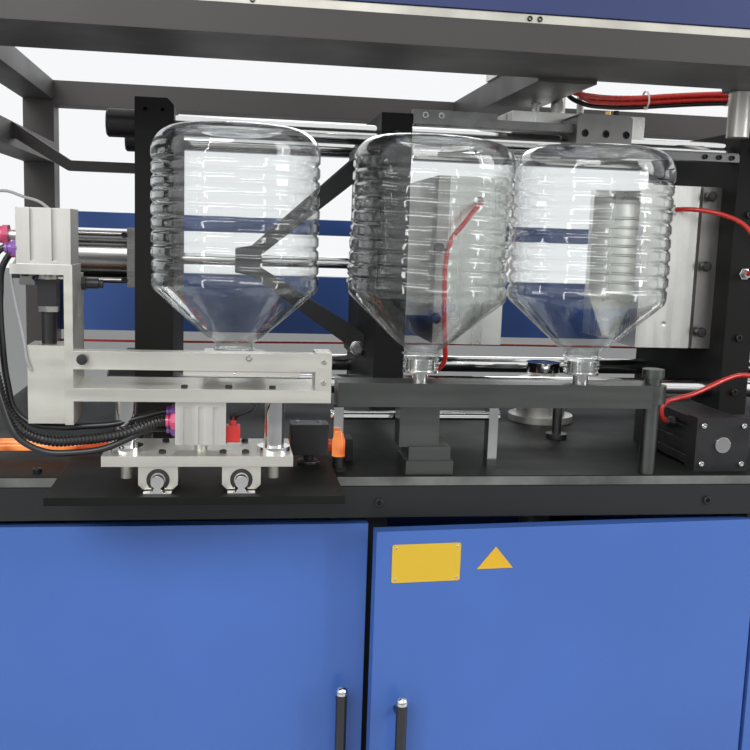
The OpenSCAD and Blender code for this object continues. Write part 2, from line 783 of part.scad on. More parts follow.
// Mould half with half of the bottle's form and its cooling ports
module mould_half() {
    color("whitesmoke") difference() {
        block([mould_open, mould_front, mould_z], [mould_open + mould_t, mould_front + mould_d, mould_high]);
        translate([mould_open, clamp_y, mould_ring_z]) bottle_form();
        for (z = [ports[2], mould_z + 42]) round_y(mould_front - 1, mould_front + 6, ports[0], z, port_r);
    }
}
module left_mould_half() {
    mirror([1, 0, 0]) mould_half();
}
module right_mould_half() {
    mould_half();
}

// Rack with straight teeth: v counts from the pitch line towards the pinion
function tooth_half(v) = gear_pitch / 4 - backlash / 4 - v * tan(20);
function rack_tooth(c) = [[c - tooth_half(-gear_ded), -gear_ded], [c - tooth_half(gear_add), gear_add],
    [c + tooth_half(gear_add), gear_add], [c + tooth_half(-gear_ded), -gear_ded]];
module rack(x0, x1) {
    first = ceil((x0 - pinion_x) / gear_pitch + 0.5);
    last = floor((x1 - pinion_x) / gear_pitch - 0.5);
    translate([0, rack_back_y, 0]) rotate([90, 0, 0]) linear_extrude(rack_w) polygon(concat(
        [[x0, -rack_back], [x0, -gear_ded]],
        [for (k = [first:last]) each rack_tooth(pinion_x + k * gear_pitch)],
        [[x1, -gear_ded], [x1, -rack_back]]));
}
module upper_rack() {
    color("dimgray") translate([0, 0, pinion_z + pinion_r]) mirror([0, 0, 1])
        rack(-moving_inner_l, pinion_x + rack_reach);
}
module lower_rack() {
    color("dimgray") translate([0, 0, pinion_z - pinion_r]) rack(pinion_x - rack_reach, moving_inner_r);
}

// Pinion with involute teeth and its journals
function involute(a) = tan(a) * 180 / PI - a;
function flank(r) = 90 / pinion_teeth - backlash * 45 / (PI * pinion_r) + involute(20)
    - involute(acos(pinion_r * cos(20) / r));
module rack_pinion() {
    base_r = pinion_r * cos(20);
    tip_r = pinion_r + gear_add;
    radii = [for (i = [0:4]) base_r + 0.001 + i * (tip_r - base_r) / 4];
    root_r = pinion_r - gear_ded;
    polar = function (r, a) [r * cos(a), r * sin(a)];
    teeth = [for (i = [0:pinion_teeth - 1]) let (c = 90 + (i + 0.5) * 360 / pinion_teeth) each concat(
        [polar(root_r, c - flank(radii[0]))],
        [for (r = radii) polar(r, c - flank(r))],
        [for (i = [4:-1:0]) polar(radii[i], c + flank(radii[i]))],
        [polar(root_r, c + flank(radii[0]))])];
    color("darkgray") {
        translate([pinion_x, rack_back_y - seat, pinion_z]) rotate([90, 0, 0])
            linear_extrude(rack_w - 2 * seat) polygon(teeth);
        round_y(housing_front + 2, rack_back_y + 4, pinion_x, pinion_z, journal_r);
    }
}

// Housing round the pinion, clamped on the front upper tie bar
module rack_housing() {
    low = pinion_z - pinion_r - rack_back - 2;
    high = tie_z[1] + 46;
    back = tie_y[0] + tie_r + 4;
    x1 = housing_x + housing_w;
    color("gray") difference() {
        block([housing_x, housing_front, low], [x1, back, high]);
        block([housing_x - 1, rack_front - seat, pinion_z + pinion_r - gear_add - 1],
            [x1 + 1, rack_back_y + seat, pinion_z + pinion_r + rack_back + seat]);
        block([housing_x - 1, rack_front - seat, pinion_z - pinion_r - rack_back - seat],
            [x1 + 1, rack_back_y + seat, pinion_z - pinion_r + gear_add + 1]);
        round_y(rack_front - seat, rack_back_y + seat, pinion_x, pinion_z, pinion_r + gear_add + 1);
        round_y(housing_front + 1, rack_back_y + 5, pinion_x, pinion_z, journal_r + fit);
        round_x(housing_x - 1, x1 + 1, tie_y[0], tie_z[1], tie_r + fit);
        for (x = [14, 49.5, 84])
            round_y(housing_front - 1, housing_front + 9, housing_x + x, pinion_z + 9.5, screw_head_r);
        for (x = [housing_x - 0.01, x1])
            translate([x, housing_front, high]) rotate([0, 45, 0]) cube([8, 400, 8], center = true);
    }
}

// Base mould with its guide rods and piston, raised above the moulds
module base_mould() {
    half = base_mould_w / 2;
    top = base_rest + base_mould_h;
    color("silver") {
        difference() {
            block([-half, clamp_y - half, base_rest], [half, clamp_y + half, top]);
            translate([0, clamp_y, mould_ring_z + base_travel]) bottle_form();
        }
        for (x = [-1, 1])
            round_z(top - 1, top_z + hanger_t + base_travel + 6, x * base_guide_pitch / 2, clamp_y,
                base_guide_r);
        round_z(top - 1, top_z + hanger_t + 80, 0, clamp_y, lift_rod_r);
        round_z(top_z + hanger_t + 74, top_z + hanger_t + 86, 0, clamp_y, lift_rod_r + 14);
    }
}

// Cylinder that lowers the base mould, on its hanger plate across the top beams
module base_mould_cylinder() {
    z0 = top_z + hanger_t;
    x0 = -118;
    x1 = base_guide_pitch / 2 + 24;
    color("gray") difference() {
        union() {
            block([x0, front_y + 150, top_z], [x1, clamp_y + 70, z0]);
            round_z(z0 - 1, z0 + base_cylinder_h, 0, clamp_y, lift_rod_r + 20);
        }
        round_z(z0 + 8, z0 + base_cylinder_h - 8, 0, clamp_y, lift_rod_r + 14 + fit);
        round_z(top_z - 1, z0 + 9, 0, clamp_y, lift_rod_r + fit);
        for (x = [-1, 1])
            round_z(top_z - 1, z0 + 1, x * base_guide_pitch / 2, clamp_y, base_guide_r + fit);
    }
}

// Blow cylinder on the bed, with the barrel of the stretch rod below it
module blow_cylinder() {
    barrel_r = blow_r - 15;
    color("silver") difference() {
        union() {
            round_z(bed_z, bed_z + 12, 0, clamp_y, blow_r + 15);
            round_z(bed_z, blow_top, 0, clamp_y, blow_r);
            round_z(stretch_low, bed_z + 1, 0, clamp_y, barrel_r);
        }
        round_z(blow_top - 35 - nozzle_travel, blow_top + 1, 0, clamp_y, nozzle_r + fit);
        round_z(stretch_low - 1, bed_z + 30, 0, clamp_y, stretch_r + fit);
        round_z(stretch_low + 10, bed_z - 15, 0, clamp_y, barrel_r - 8);
    }
}

// Blow nozzle that rises to seal a bottle's neck
module blow_nozzle() {
    color("gainsboro") difference() {
        union() {
            round_z(blow_top - 28 - nozzle_travel, blow_top + 6, 0, clamp_y, nozzle_r);
            translate([0, clamp_y, blow_top + 5]) cylinder(r1 = nozzle_r, r2 = nozzle_r + 6, h = 8);
            round_z(blow_top + 12, nozzle_top, 0, clamp_y, nozzle_r + 6);
        }
        round_z(bed_z, nozzle_top + 1, 0, clamp_y, stretch_r + fit);
    }
}

// Stretch rod with its piston
module stretch_rod() {
    low = stretch_low + 15;
    color("gainsboro") {
        round_z(low, nozzle_top - 2, 0, clamp_y, stretch_r);
        round_z(low, low + 20, 0, clamp_y, blow_r - 15 - 8 - fit);
    }
}

// Bar that carries the bottles' mandrels, clamped round the right post
module carrier_bar() {
    y0 = bottle_y - carrier_d / 2;
    color("dimgray") difference() {
        union() {
            block([carrier_x0, y0, carrier_z], [post_x - post_r - 2, y0 + carrier_d, carrier_top]);
            round_z(carrier_z + 3, carrier_top - 3, post_x, post_y, post_r + 8);
        }
        round_z(carrier_z - 1, carrier_top + 1, post_x, post_y, post_r + fit);
    }
}

// Posts of the carrier bar, and the stop post in front of the moulds
module carrier_posts() {
    foot = 1.8 * square_post;
    x0 = -middle_bottle_x - 15;
    color("dimgray") {
        block([x0, front_y + 6, bed_z], [x0 + foot, front_y + 6 + foot, bed_z + 20]);
        block([x0 + 4, front_y + 9, bed_z + 19], [x0 + foot - 4, front_y + 3 + foot, bed_z + 40]);
        block([x0 - 10, front_y + 12, bed_z + 39],
            [x0 - 10 + 1.5 * square_post, front_y + 12 + square_post, carrier_z]);
    }
    color("gray") {
        round_z(bed_z, carrier_top + 8, post_x, post_y, post_r);
        round_z(carrier_top + 7, carrier_top + 20, post_x, post_y, post_r + 4);
        round_z(bed_z, tie_z[0] - 9, -25, tie_y[0] - tie_r - 10, 8);
        round_z(bed_z, bed_z + 8, -25, tie_y[0] - tie_r - 10, 18);
    }
}

// Chrome mandrels that the bottles' necks sit on
module neck_mandrels() {
    color("gainsboro") for (x = [-middle_bottle_x, -right_bottle_x]) {
        round_z(carrier_top, neck_z, x, bottle_y, 11);
        round_z(neck_z - 3, neck_z, x, bottle_y, neck_r + 1);
        round_z(neck_z - 1, neck_z + plug_h, x, bottle_y, neck_r - bottle_wall - 1.3);
    }
}

// Bottles on the carrier: the middle one leans, as it stands loose on its mandrel
module bottle_middle() {
    color("azure") translate([-middle_bottle_x, bottle_y, neck_z + neck_r * sin(bottle_lean)])
        rotate([0, bottle_lean, 0]) translate([0, 0, neck_l]) bottle();
}
module bottle_right() {
    color("azure") translate([-right_bottle_x, bottle_y, ring_z]) bottle();
}
module bottle_left() {
    color("azure") translate([grip_x, bottle_y, grip_ring_z]) bottle();
}

// Index cylinder on the bed
module index_cylinder() {
    half = index_w / 2;
    y1 = index_front + index_l;
    color("gray") difference() {
        union() {
            for (y = [index_front, y1 - 30])
                block([index_x - half - 2, y, bed_z], [index_x + half + 2, y + 30, index_z + half + 1]);
            block([index_x - half + 2, index_front + 1, bed_z + 4],
                [index_x + half - 2, y1 - 1, index_z + half - 3]);
        }
        round_y(y1 - 54 - index_travel, y1 - 20, index_x, index_z, index_bore_r);
        round_y(index_front - 1, y1 - 53 - index_travel, index_x, index_z, index_rod_r + fit);
        for (x = [-1, 1], z = [-22, 0, 22])
            block([index_x + x * (half - 2) - 2, index_front + 31, index_z + z - 3],
                [index_x + x * (half - 2) + 2, y1 - 31, index_z + z + 3]);
    }
}

// Index rod with its piston and the disc at its front end
module index_rod() {
    piston = index_front + index_l - 48;
    color("gainsboro") {
        round_y(index_front - 1, piston + 1, index_x, index_z, index_rod_r);
        round_y(piston, piston + 24, index_x, index_z, index_bore_r - fit);
        round_y(index_front - 3 - seat, index_front - seat, index_x, index_z, index_disc_r);
    }
}

// Chrome guide rod along the back of the carrier, on two stands
module guide_rod() {
    x0 = plate_x + plate_w + 4.5;
    x1 = -right_bottle_x - 104;
    color("gainsboro") {
        round_x(x0 - 4, x1 + 4, guide_rod_y, guide_rod_z, guide_rod_r);
        for (x = [x0, x1 - 14])
            block([x, guide_rod_y - 12, bed_z], [x + 14, guide_rod_y + 12, guide_rod_z + 13]);
    }
}

// Base plate of the transfer unit, which overhangs the front of the bed
module transfer_base_plate() {
    color("darkslategray")
        block([plate_x, plate_front, bed_z], [plate_x + plate_w, plate_front + rail_l + 12, plate_top]);
}

// Shaft rails with their flared supports
module shaft_rails() {
    color("gainsboro") for (x = [-1, 1])
        translate([x * rail_pitch / 2 - transfer_x, plate_front + 8 + rail_l, plate_top])
            rotate([90, 0, 0]) linear_extrude(rail_l) {
                translate([0, shaft_z - plate_top]) circle(r = shaft_r);
                polygon([[-17, 0], [17, 0], [17, 3], [7, 3], [4, 8], [4, 12], [-4, 12], [-4, 8], [-7, 3],
                    [-17, 3]]);
            }
}

// Open bearing blocks on the rails
module bearing_blocks() {
    color("lightgray") for (x = [-1, 1], y = [2, carriage_d - block_l - 2])
        translate([x * rail_pitch / 2 - transfer_x, carriage_y + y, 0]) difference() {
            block([-block_w / 2, 0, block_low], [block_w / 2, block_l, block_top]);
            round_y(-1, block_l + 1, 0, shaft_z, shaft_r + fit);
            block([-8, -1, block_low - 1], [8, block_l + 1, shaft_z]);
            for (s = [-1, 1]) translate([s * block_w / 2, 0, block_low]) rotate([0, 45, 0])
                cube([8, 4 * block_l, 8], center = true);
        }
}

// Carriage plate on the bearing blocks, with the fixed ram of the lift cylinder
module carriage_plate() {
    x0 = -transfer_x - 2 - carriage_w / 2;
    color("gainsboro") difference() {
        union() {
            block([x0, carriage_y, block_top], [x0 + carriage_w, carriage_y + carriage_d, carriage_top]);
            round_z(carriage_top - 1, lift_z - 12, -transfer_x, carriage_y + 34, 8);
        }
        for (x = [-1, 1])
            round_z(block_top - 1, carriage_top + 1, x * guide_pitch / 2 - transfer_x, carriage_y + 34,
                post_guide_r + fit);
    }
}

// Guide bushes on the carriage plate
module guide_bushes() {
    color("gainsboro") for (x = [-1, 1])
        translate([x * guide_pitch / 2 - transfer_x, carriage_y + 34, carriage_top])
            rotate_extrude() polygon([[post_guide_r + fit, 0], [bush_r + 8, 0], [bush_r + 8, 7], [bush_r, 7],
                [bush_r, lift_gap - seat], [post_guide_r + fit, lift_gap - seat]]);
}

// Lift plate with its two guide posts
module lift_plate() {
    color("gainsboro") {
        block([lift_x, carriage_y, lift_z], [lift_end, carriage_y + carriage_d - 8, lift_top]);
        for (x = [-1, 1])
            round_z(block_top - 22, lift_z + 1, x * guide_pitch / 2 - transfer_x, carriage_y + 34,
                post_guide_r);
    }
}

// Lift cylinder under the lift plate
module lift_cylinder() {
    half = lift_cylinder_w / 2;
    color("silver") difference() {
        block([-transfer_x - half, carriage_y + 10, lift_z - lift_cylinder_h],
            [half - transfer_x, carriage_y + 60, lift_z]);
        round_z(lift_z - lift_cylinder_h - 1, lift_z - 6, -transfer_x, carriage_y + 34, 8 + fit);
        for (x = [-18, 0, 18]) block([x - 3 - transfer_x, carriage_y + 9, lift_z - lift_cylinder_h - 1],
            [x + 3 - transfer_x, carriage_y + 13, lift_z - 8]);
    }
}

// Gripper bar with its end bracket
module gripper_bar() {
    color("gainsboro") {
        block([lift_x, carriage_y, bar_z], [lift_end - 19, carriage_y + bar_d, bar_top]);
        block([lift_end - 20, carriage_y, lift_top], [lift_end, carriage_y + bracket_d, bar_top + 2]);
    }
}

// Gripper jaw: a strip under the bar and a finger that reaches back to the bottle's neck
module jaw(s, reach) {
    low = bar_z - seat - jaw_t;
    y1 = bottle_y + 12;
    difference() {
        union() {
            block([s > 0 ? 1 : -reach, carriage_y + 3, low],
                [s > 0 ? reach : -1, carriage_y + bar_d + 7, low + jaw_t]);
            block([s > 0 ? 1 : -40, carriage_y + bar_d + 2, low], [s > 0 ? 40 : -1, y1, grip_ring_z - seat]);
        }
        translate([0, bottle_y, low - 1]) cylinder(r = neck_r + seat, h = 60);
    }
}
module gripper_jaw_left() {
    color("silver") translate([grip_x, 0, 0]) jaw(-1, 62);
}
module gripper_jaw_right() {
    color("silver") translate([grip_x, 0, 0]) jaw(1, lift_end - 24 - grip_x - jaw_travel);
}

// Side plate with the block that guides the plunger
module side_plate() {
    color("gainsboro") difference() {
        union() {
            block([lift_x - side_plate_t, carriage_y, side_z], [lift_x, carriage_y + side_d, side_top]);
            block([plunger_x - guide_block[0] / 2, plunger_y - guide_block[1] / 2, side_z],
                [lift_x - side_plate_t + 1, plunger_y + guide_block[1] / 2, side_z + guide_block[2]]);
        }
        round_z(side_z - 1, side_z + guide_block[2] + 1, plunger_x, plunger_y, plunger_r + fit);
    }
}

// Stroke cylinder on its flange, on top of the side plate
module stroke_cylinder() {
    z0 = side_top + flange_t;
    x0 = plunger_x - stroke_w / 2;
    color("silver") difference() {
        union() {
            block([x0 - 7, carriage_y, side_top], [lift_x, carriage_y + stroke_w + 6, z0]);
            block([x0, carriage_y + 3, z0 - 1], [x0 + stroke_w, carriage_y + 3 + stroke_w, z0 + stroke_h]);
            round_x(x0 - 14, x0 + 1, carriage_y + 30, z0 + 33, 6);
        }
        round_z(z0 + 2, z0 + stroke_h - 8, plunger_x, plunger_y, stroke_bore_r);
        round_z(side_top - 1, z0 + 3, plunger_x, plunger_y, plunger_r - 1 + fit);
        for (x = [0.3, 0.7])
            block([x0 + x * stroke_w - 3, carriage_y + 2, z0 + 4],
                [x0 + x * stroke_w + 3, carriage_y + 8, z0 + stroke_h + 1]);
    }
}

// Plunger with its knuckle and piston
module plunger() {
    z = side_top - 7;
    piston = side_top + flange_t + 6 + plunger_travel;
    color("dimgray") {
        round_z(side_z + 36, z - knuckle[2] + 1, plunger_x, plunger_y, plunger_r);
        block([plunger_x - knuckle[0] / 2, plunger_y - knuckle[1] / 2, z - knuckle[2]],
            [plunger_x + knuckle[0] / 2, plunger_y + knuckle[1] / 2, z]);
        round_z(z - 1, piston + 1, plunger_x, plunger_y, plunger_r - 1);
        round_z(piston, piston + 12, plunger_x, plunger_y, stroke_bore_r - fit);
    }
}

// Heater lamps at the end of the oven, on their holders
module heater_lamps() {
    for (y = [0, 26]) color("orange") round_x(lamp_x[0], lamp_x[1], lamp_y + y, lamp_z, lamp_r);
    color("gray") for (x = [lamp_x[0] - 2, lamp_x[0] + 260, lamp_x[1] - 10])
        block([x, lamp_y - 11, bed_z], [x + 12, lamp_y + 37, lamp_z + 10]);
}

// Hoses, each held at both ends
module top_air_hose() {
    color("red") hose(top_hose_route, hose_r + 1);
}
module left_mould_hose() {
    color("red") hose(left_hose_route, hose_r);
}
module right_mould_hose() {
    color("red") hose(right_hose_route, hose_r);
}
module hose_loom() {
    color("black") hose(loom_route, hose_r + 3);
}

// Door folded from sheet metal, closed, with the lugs that turn on the pivot pins
module door_leaf(x0, w, pivot) {
    t = sheet_t;
    difference() {
        union() {
            difference() {
                block([x0, door_front, door_low], [x0 + w, door_front + door_t, door_top]);
                block([x0 + t, door_front + t, door_low + t],
                    [x0 + w - t, door_front + door_t + 1, door_top - t]);
            }
            for (z = [door_low, door_top - t - lug_h])
                block([pivot - lug_w / 2, door_front + 1, z],
                    [pivot + lug_w / 2, door_front + door_t, z + t + lug_h]);
        }
        for (z = [door_low - 1, door_top - t - lug_h - 1])
            round_z(z, z + t + lug_h + 2, pivot, pivot_y, pivot_r + fit);
    }
}
module door_left() {
    color("royalblue") door_leaf(left_door_x, left_door_w, left_pivot_x);
}
module ajar() {
    translate([middle_pivot_x, pivot_y, 0]) rotate(door_ajar)
        translate([-middle_pivot_x, -pivot_y, 0]) children();
}
module door_middle() {
    color("royalblue") ajar() door_leaf(middle_door_x, middle_door_w, middle_pivot_x);
}

// Pull handle on two stand-offs
module door_handle(x) {
    z1 = handle_rise + handle_len;
    y = door_front - handle_out;
    round_z(handle_rise, z1, x, y, handle_r);
    for (z = [handle_rise + 22, z1 - 22]) round_y(y, door_front, x, z, handle_r - 2);
}
module door_handle_left() {
    color("gray") door_handle(left_door_end - handle_in);
}
module door_handle_middle() {
    color("gray") ajar() door_handle(middle_door_x + handle_in + 4);
}

base_frame();
levelling_feet();
bed_plate();
cabinet_panels();
upper_frame();
top_fascia();
fixed_platens();
tie_bars();
tie_bar_nuts();
clamp_cylinders();
rack_housing();
base_mould_cylinder();
blow_cylinder();
carrier_bar();
carrier_posts();
neck_mandrels();
bottle_middle();
bottle_right();
index_cylinder();
guide_rod();
transfer_base_plate();
shaft_rails();
heater_lamps();
top_air_hose();
left_moving_platen();
left_mould_holder();
left_mould_half();
upper_rack();
left_thrust_yoke();
left_piston_rod();
left_mould_hose();
right_moving_platen();
right_mould_holder();
right_mould_half();
lower_rack();
right_thrust_yoke();
right_piston_rod();
right_mould_hose();
rack_pinion();
base_mould();
blow_nozzle();
stretch_rod();
index_rod();
carriage_plate();
bearing_blocks();
lift_plate();
guide_bushes();
lift_cylinder();
gripper_bar();
side_plate();
stroke_cylinder();
hose_loom();
plunger();
gripper_jaw_left();
gripper_jaw_right();
bottle_left();
door_left();
door_middle();
door_handle_left();
door_handle_middle();
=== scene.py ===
"""Looks of the stretch blow moulding machine, dressed over its CAD frame.

Sizes are in millimetres in this file and become metres when a mesh is made.
X runs along the clamp, Y from the operator's side to the back, Z up.
"""
import math
import bpy
import numpy as np
from mathutils import Matrix, Vector


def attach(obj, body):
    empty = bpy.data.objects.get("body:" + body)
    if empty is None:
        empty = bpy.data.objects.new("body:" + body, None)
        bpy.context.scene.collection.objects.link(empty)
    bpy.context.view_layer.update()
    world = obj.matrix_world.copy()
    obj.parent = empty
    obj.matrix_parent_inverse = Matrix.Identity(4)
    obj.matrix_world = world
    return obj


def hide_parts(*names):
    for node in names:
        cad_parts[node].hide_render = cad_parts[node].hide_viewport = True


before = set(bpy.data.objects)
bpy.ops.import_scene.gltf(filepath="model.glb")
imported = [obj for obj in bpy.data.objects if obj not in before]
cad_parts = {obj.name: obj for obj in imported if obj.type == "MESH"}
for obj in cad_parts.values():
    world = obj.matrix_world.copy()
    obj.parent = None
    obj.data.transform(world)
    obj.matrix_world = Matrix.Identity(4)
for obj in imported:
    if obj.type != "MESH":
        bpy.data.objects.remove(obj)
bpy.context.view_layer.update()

MM = 0.001
LEFT, RIGHT = (-1, 0, 0), (1, 0, 0)
FRONT, BACK = (0, -1, 0), (0, 1, 0)
DOWN, UP = (0, 0, -1), (0, 0, 1)


# Finishes

COAT_ROUGH = 0.12
EDGE_SAMPLES = 4
# Paint: waves a metre of its clouds, of its smears and of its orange peel, and the peel's height in metres
PAINT_CLOUDS, PAINT_SMEARS, PEEL_WAVES, PEEL_HEIGHT = 3.0, 9.0, 420.0, 0.0004
# Bare metal: the same for its clouds, its smears and its tool marks
METAL_CLOUDS, METAL_SMEARS, TOOL_WAVES, TOOL_HEIGHT = 11.0, 60.0, 300.0, 0.0003
# Plastic and rubber: clouds and smears
PLASTIC_CLOUDS, PLASTIC_SMEARS = 30.0, 70.0


class Finish:
    """A Principled material that is built up step by step from textures in Object coordinates."""

    def __init__(self, name, colour, metal=0.0, rough=0.5, coat=0.0, specular=0.5):
        self.material = bpy.data.materials.new(name)
        self.material.use_nodes = True
        self.tree = self.material.node_tree
        self.shader = self.tree.nodes["Principled BSDF"]
        self.colour = colour
        self.rough = rough
        self.set("Base Color", (*colour, 1.0))
        self.set("Metallic", metal)
        self.set("Roughness", rough)
        self.set("Coat Weight", coat)
        self.set("Specular IOR Level", specular)
        if coat:
            self.set("Coat Roughness", COAT_ROUGH)
        self.place = self.tree.nodes.new("ShaderNodeTexCoord").outputs["Object"]
        self.normal = None
        self.material.diffuse_color = (*colour, 1.0)

    def set(self, socket, value):
        """One value on the shader's own socket."""
        self.shader.inputs[socket].default_value = value

    def link(self, a, b):
        """Wire from output a to input b."""
        self.tree.links.new(a, b)

    def node(self, kind, **inputs):
        """New node with the given values on its input sockets."""
        n = self.tree.nodes.new(kind)
        for socket, value in inputs.items():
            n.inputs[socket].default_value = value
        return n

    def stretched(self, scale):
        """Object coordinates times one factor for each axis, for grain that runs one way."""
        mapping = self.node("ShaderNodeMapping", Scale=scale)
        self.link(self.place, mapping.inputs["Vector"])
        return mapping.outputs["Vector"]

    def noise(self, scale, detail=3.0, vector=None):
        """Cloudy noise at so many waves a metre, on Object coordinates unless a vector is given."""
        n = self.node("ShaderNodeTexNoise", Scale=scale, Detail=detail)
        self.link(vector or self.place, n.inputs["Vector"])
        return n.outputs["Fac"]

    def span(self, value, low, high, start=0.3, end=0.7):
        """The value between start and end is spread from low to high."""
        n = self.node("ShaderNodeMapRange")
        n.inputs["From Min"].default_value = start
        n.inputs["From Max"].default_value = end
        n.inputs["To Min"].default_value = low
        n.inputs["To Max"].default_value = high
        self.link(value, n.inputs["Value"])
        return n.outputs["Result"]

    def tints(self, value, stops):
        """Colour ramp over the value: stops are (place, colour)."""
        n = self.node("ShaderNodeValToRGB")
        ramp = n.color_ramp
        while len(ramp.elements) < len(stops):
            ramp.elements.new(0.5)
        for element, (place, colour) in zip(ramp.elements, stops):
            element.position = place
            element.color = (*colour, 1.0)
        self.link(value, n.inputs["Fac"])
        self.link(n.outputs["Color"], self.shader.inputs["Base Color"])
        return self

    def mottled(self, scale, amount, detail=4.0):
        """Colour wanders by the amount below and above the paint's own."""
        low = [c * (1 - amount) for c in self.colour]
        high = [min(1.0, c * (1 + amount)) for c in self.colour]
        return self.tints(self.noise(scale, detail), [(0.3, low), (0.7, high)])

    def worn(self, scale, spread, vector_scale=None):
        """Roughness wanders by the spread round its own value."""
        vector = self.stretched(vector_scale) if vector_scale else None
        fac = self.noise(scale, vector=vector)
        self.link(self.span(fac, self.rough - spread, self.rough + spread), self.shader.inputs["Roughness"])
        return self

    def bumped(self, scale, strength, distance, vector_scale=None):
        """Relief from noise, stretched along the axes where a grain runs."""
        vector = self.stretched(vector_scale) if vector_scale else None
        bump = self.node("ShaderNodeBump", Strength=strength, Distance=distance)
        self.link(self.noise(scale, vector=vector), bump.inputs["Height"])
        if self.normal:
            self.link(self.normal, bump.inputs["Normal"])
        self.normal = bump.outputs["Normal"]
        return self

    def edged(self, radius):
        """Edges catch the light as if broken by the radius."""
        bevel = self.node("ShaderNodeBevel", Radius=radius)
        bevel.samples = EDGE_SAMPLES
        if self.normal:
            self.link(self.normal, bevel.inputs["Normal"])
        self.normal = bevel.outputs["Normal"]
        return self

    def done(self):
        """The material, with its relief wired to the shader."""
        if self.normal:
            self.link(self.normal, self.shader.inputs["Normal"])
        return self.material


def painted(name, colour, rough=0.4, coat=0.2, peel=0.15, mottle=0.06, edge=0.0012, specular=0.5):
    """Sprayed paint: a faint orange peel, a little wander in colour and gloss."""
    f = Finish(name, colour, rough=rough, coat=coat, specular=specular)
    f.mottled(PAINT_CLOUDS, mottle).worn(PAINT_SMEARS, 0.06)
    f.edged(edge).bumped(PEEL_WAVES, peel, PEEL_HEIGHT)
    return f.done()


def machined(name, colour, rough=0.3, grain=(1, 1, 1), depth=0.1, mottle=0.08, edge=0.0006, metal=1.0):
    """Bare metal with tool marks that run along the axis whose grain factor is small."""
    f = Finish(name, colour, metal=metal, rough=rough)
    f.mottled(METAL_CLOUDS, mottle)
    f.worn(METAL_SMEARS, 0.08, grain)
    f.edged(edge).bumped(TOOL_WAVES, depth, TOOL_HEIGHT, grain)
    return f.done()


def moulded(name, colour, rough=0.3, coat=0.2):
    """Plastic or rubber: an even colour with a soft wander in its gloss."""
    f = Finish(name, colour, rough=rough, coat=coat)
    f.mottled(PLASTIC_CLOUDS, 0.05).worn(PLASTIC_SMEARS, 0.05)
    return f.done()


FRAME_PAINT = painted("dark frame paint", (0.018, 0.019, 0.020), rough=0.46, coat=0.0, specular=0.35)
UPPER_PAINT = painted("grey beam paint", (0.070, 0.065, 0.063), rough=0.46, coat=0.0, specular=0.35)
BED_PAINT = painted("grey green bed paint", (0.010, 0.0115, 0.010), rough=0.55, coat=0.0, mottle=0.2,
                    specular=0.12)
BLUE_PAINT = painted("blue powder coat", (0.066, 0.165, 0.530), rough=0.38, coat=0.12, peel=0.22)
PLATEN_PAINT = painted("matt platen paint", (0.014, 0.014, 0.0135), rough=0.6, coat=0.0, peel=0.3,
                       specular=0.15)
# Painted shade: the blue paint darkened to navy for the top cover, standing in for the shade the cover lies
# in
SHADED_COVER_BLUE = painted("cover blue darkened as shade", (0.030, 0.046, 0.150), rough=0.42, coat=0.05, peel=0.22)
YOKE_PAINT = painted("yoke paint", (0.024, 0.025, 0.025), rough=0.48, coat=0.0, specular=0.35)
CHROME = machined("hard chrome", (0.80, 0.80, 0.79), rough=0.08, grain=(0.05, 1, 1), depth=0.02, mottle=0.02)
FOOT_STEEL = machined("zinc plated steel", (0.55, 0.55, 0.53), rough=0.35, depth=0.08)
BLACK_OXIDE = machined("black oxide", (0.035, 0.035, 0.037), rough=0.42, depth=0.1, metal=0.6)
CYLINDER_ALUMINIUM = machined("drawn aluminium", (0.66, 0.65, 0.61), rough=0.38, grain=(1, 1, 0.04),
                              depth=0.12, metal=0.8)
CLAMP_BARREL = machined("dark drawn barrel", (0.30, 0.30, 0.29), rough=0.26, grain=(0.04, 1, 1), depth=0.06)
HOUSING_GREY = machined("satin ground steel", (0.24, 0.235, 0.23), rough=0.45, depth=0.06)
GEAR_STEEL = machined("gear steel", (0.20, 0.20, 0.20), rough=0.38, grain=(1, 0.1, 1))
CARRIER_STEEL = machined("carrier steel", (0.11, 0.115, 0.11), rough=0.4, grain=(0.05, 1, 1))
MOULD_ALUMINIUM = machined("milled aluminium", (0.78, 0.78, 0.74), rough=0.30, grain=(1, 1, 0.06), depth=0.18)
HOLDER_STEEL = machined("milled holder steel", (0.42, 0.41, 0.39), rough=0.36, grain=(1, 1, 0.08), depth=0.14)
SATIN_STEEL = machined("cream anodised plate", (0.66, 0.65, 0.585), rough=0.36, grain=(0.05, 1, 1), depth=0.1,
                       metal=0.75)
# Painted highlight: a pale speckled steel strip that stands in for the light caught along the bed's front
# edge
BED_EDGE_HIGHLIGHT = machined("bed edge painted highlight", (0.16, 0.165, 0.155), rough=0.5, depth=0.5, mottle=0.6, metal=0.4)
CREAM_TRIM = machined("brushed trim strip", (0.62, 0.60, 0.53), rough=0.42, grain=(0.05, 1, 1), depth=0.3,
                      mottle=0.2, metal=0.6)
SCREW_STEEL = machined("bright screw steel", (0.50, 0.50, 0.49), rough=0.25, depth=0.04)
BRASS = machined("brass", (0.70, 0.48, 0.20), rough=0.28, depth=0.05)
HANDLE_BLACK = painted("handle lacquer", (0.012, 0.012, 0.014), rough=0.18, coat=0.6, peel=0.02)
RED_HOSE = moulded("red air hose", (0.62, 0.030, 0.022), rough=0.28, coat=0.3)
BLACK_HOSE = moulded("black hose", (0.014, 0.014, 0.015), rough=0.36, coat=0.1)
GREY_CABLE = moulded("grey cable", (0.36, 0.37, 0.37), rough=0.45)
WHITE_PLASTIC = moulded("white plastic", (0.78, 0.78, 0.74), rough=0.35)
PINK_PLASTIC = moulded("pink fitting plastic", (0.72, 0.10, 0.22), rough=0.3, coat=0.4)
VIOLET_PLASTIC = moulded("violet fitting plastic", (0.26, 0.10, 0.42), rough=0.3, coat=0.4)
BLACK_PLASTIC = moulded("black plastic", (0.016, 0.016, 0.018), rough=0.42)
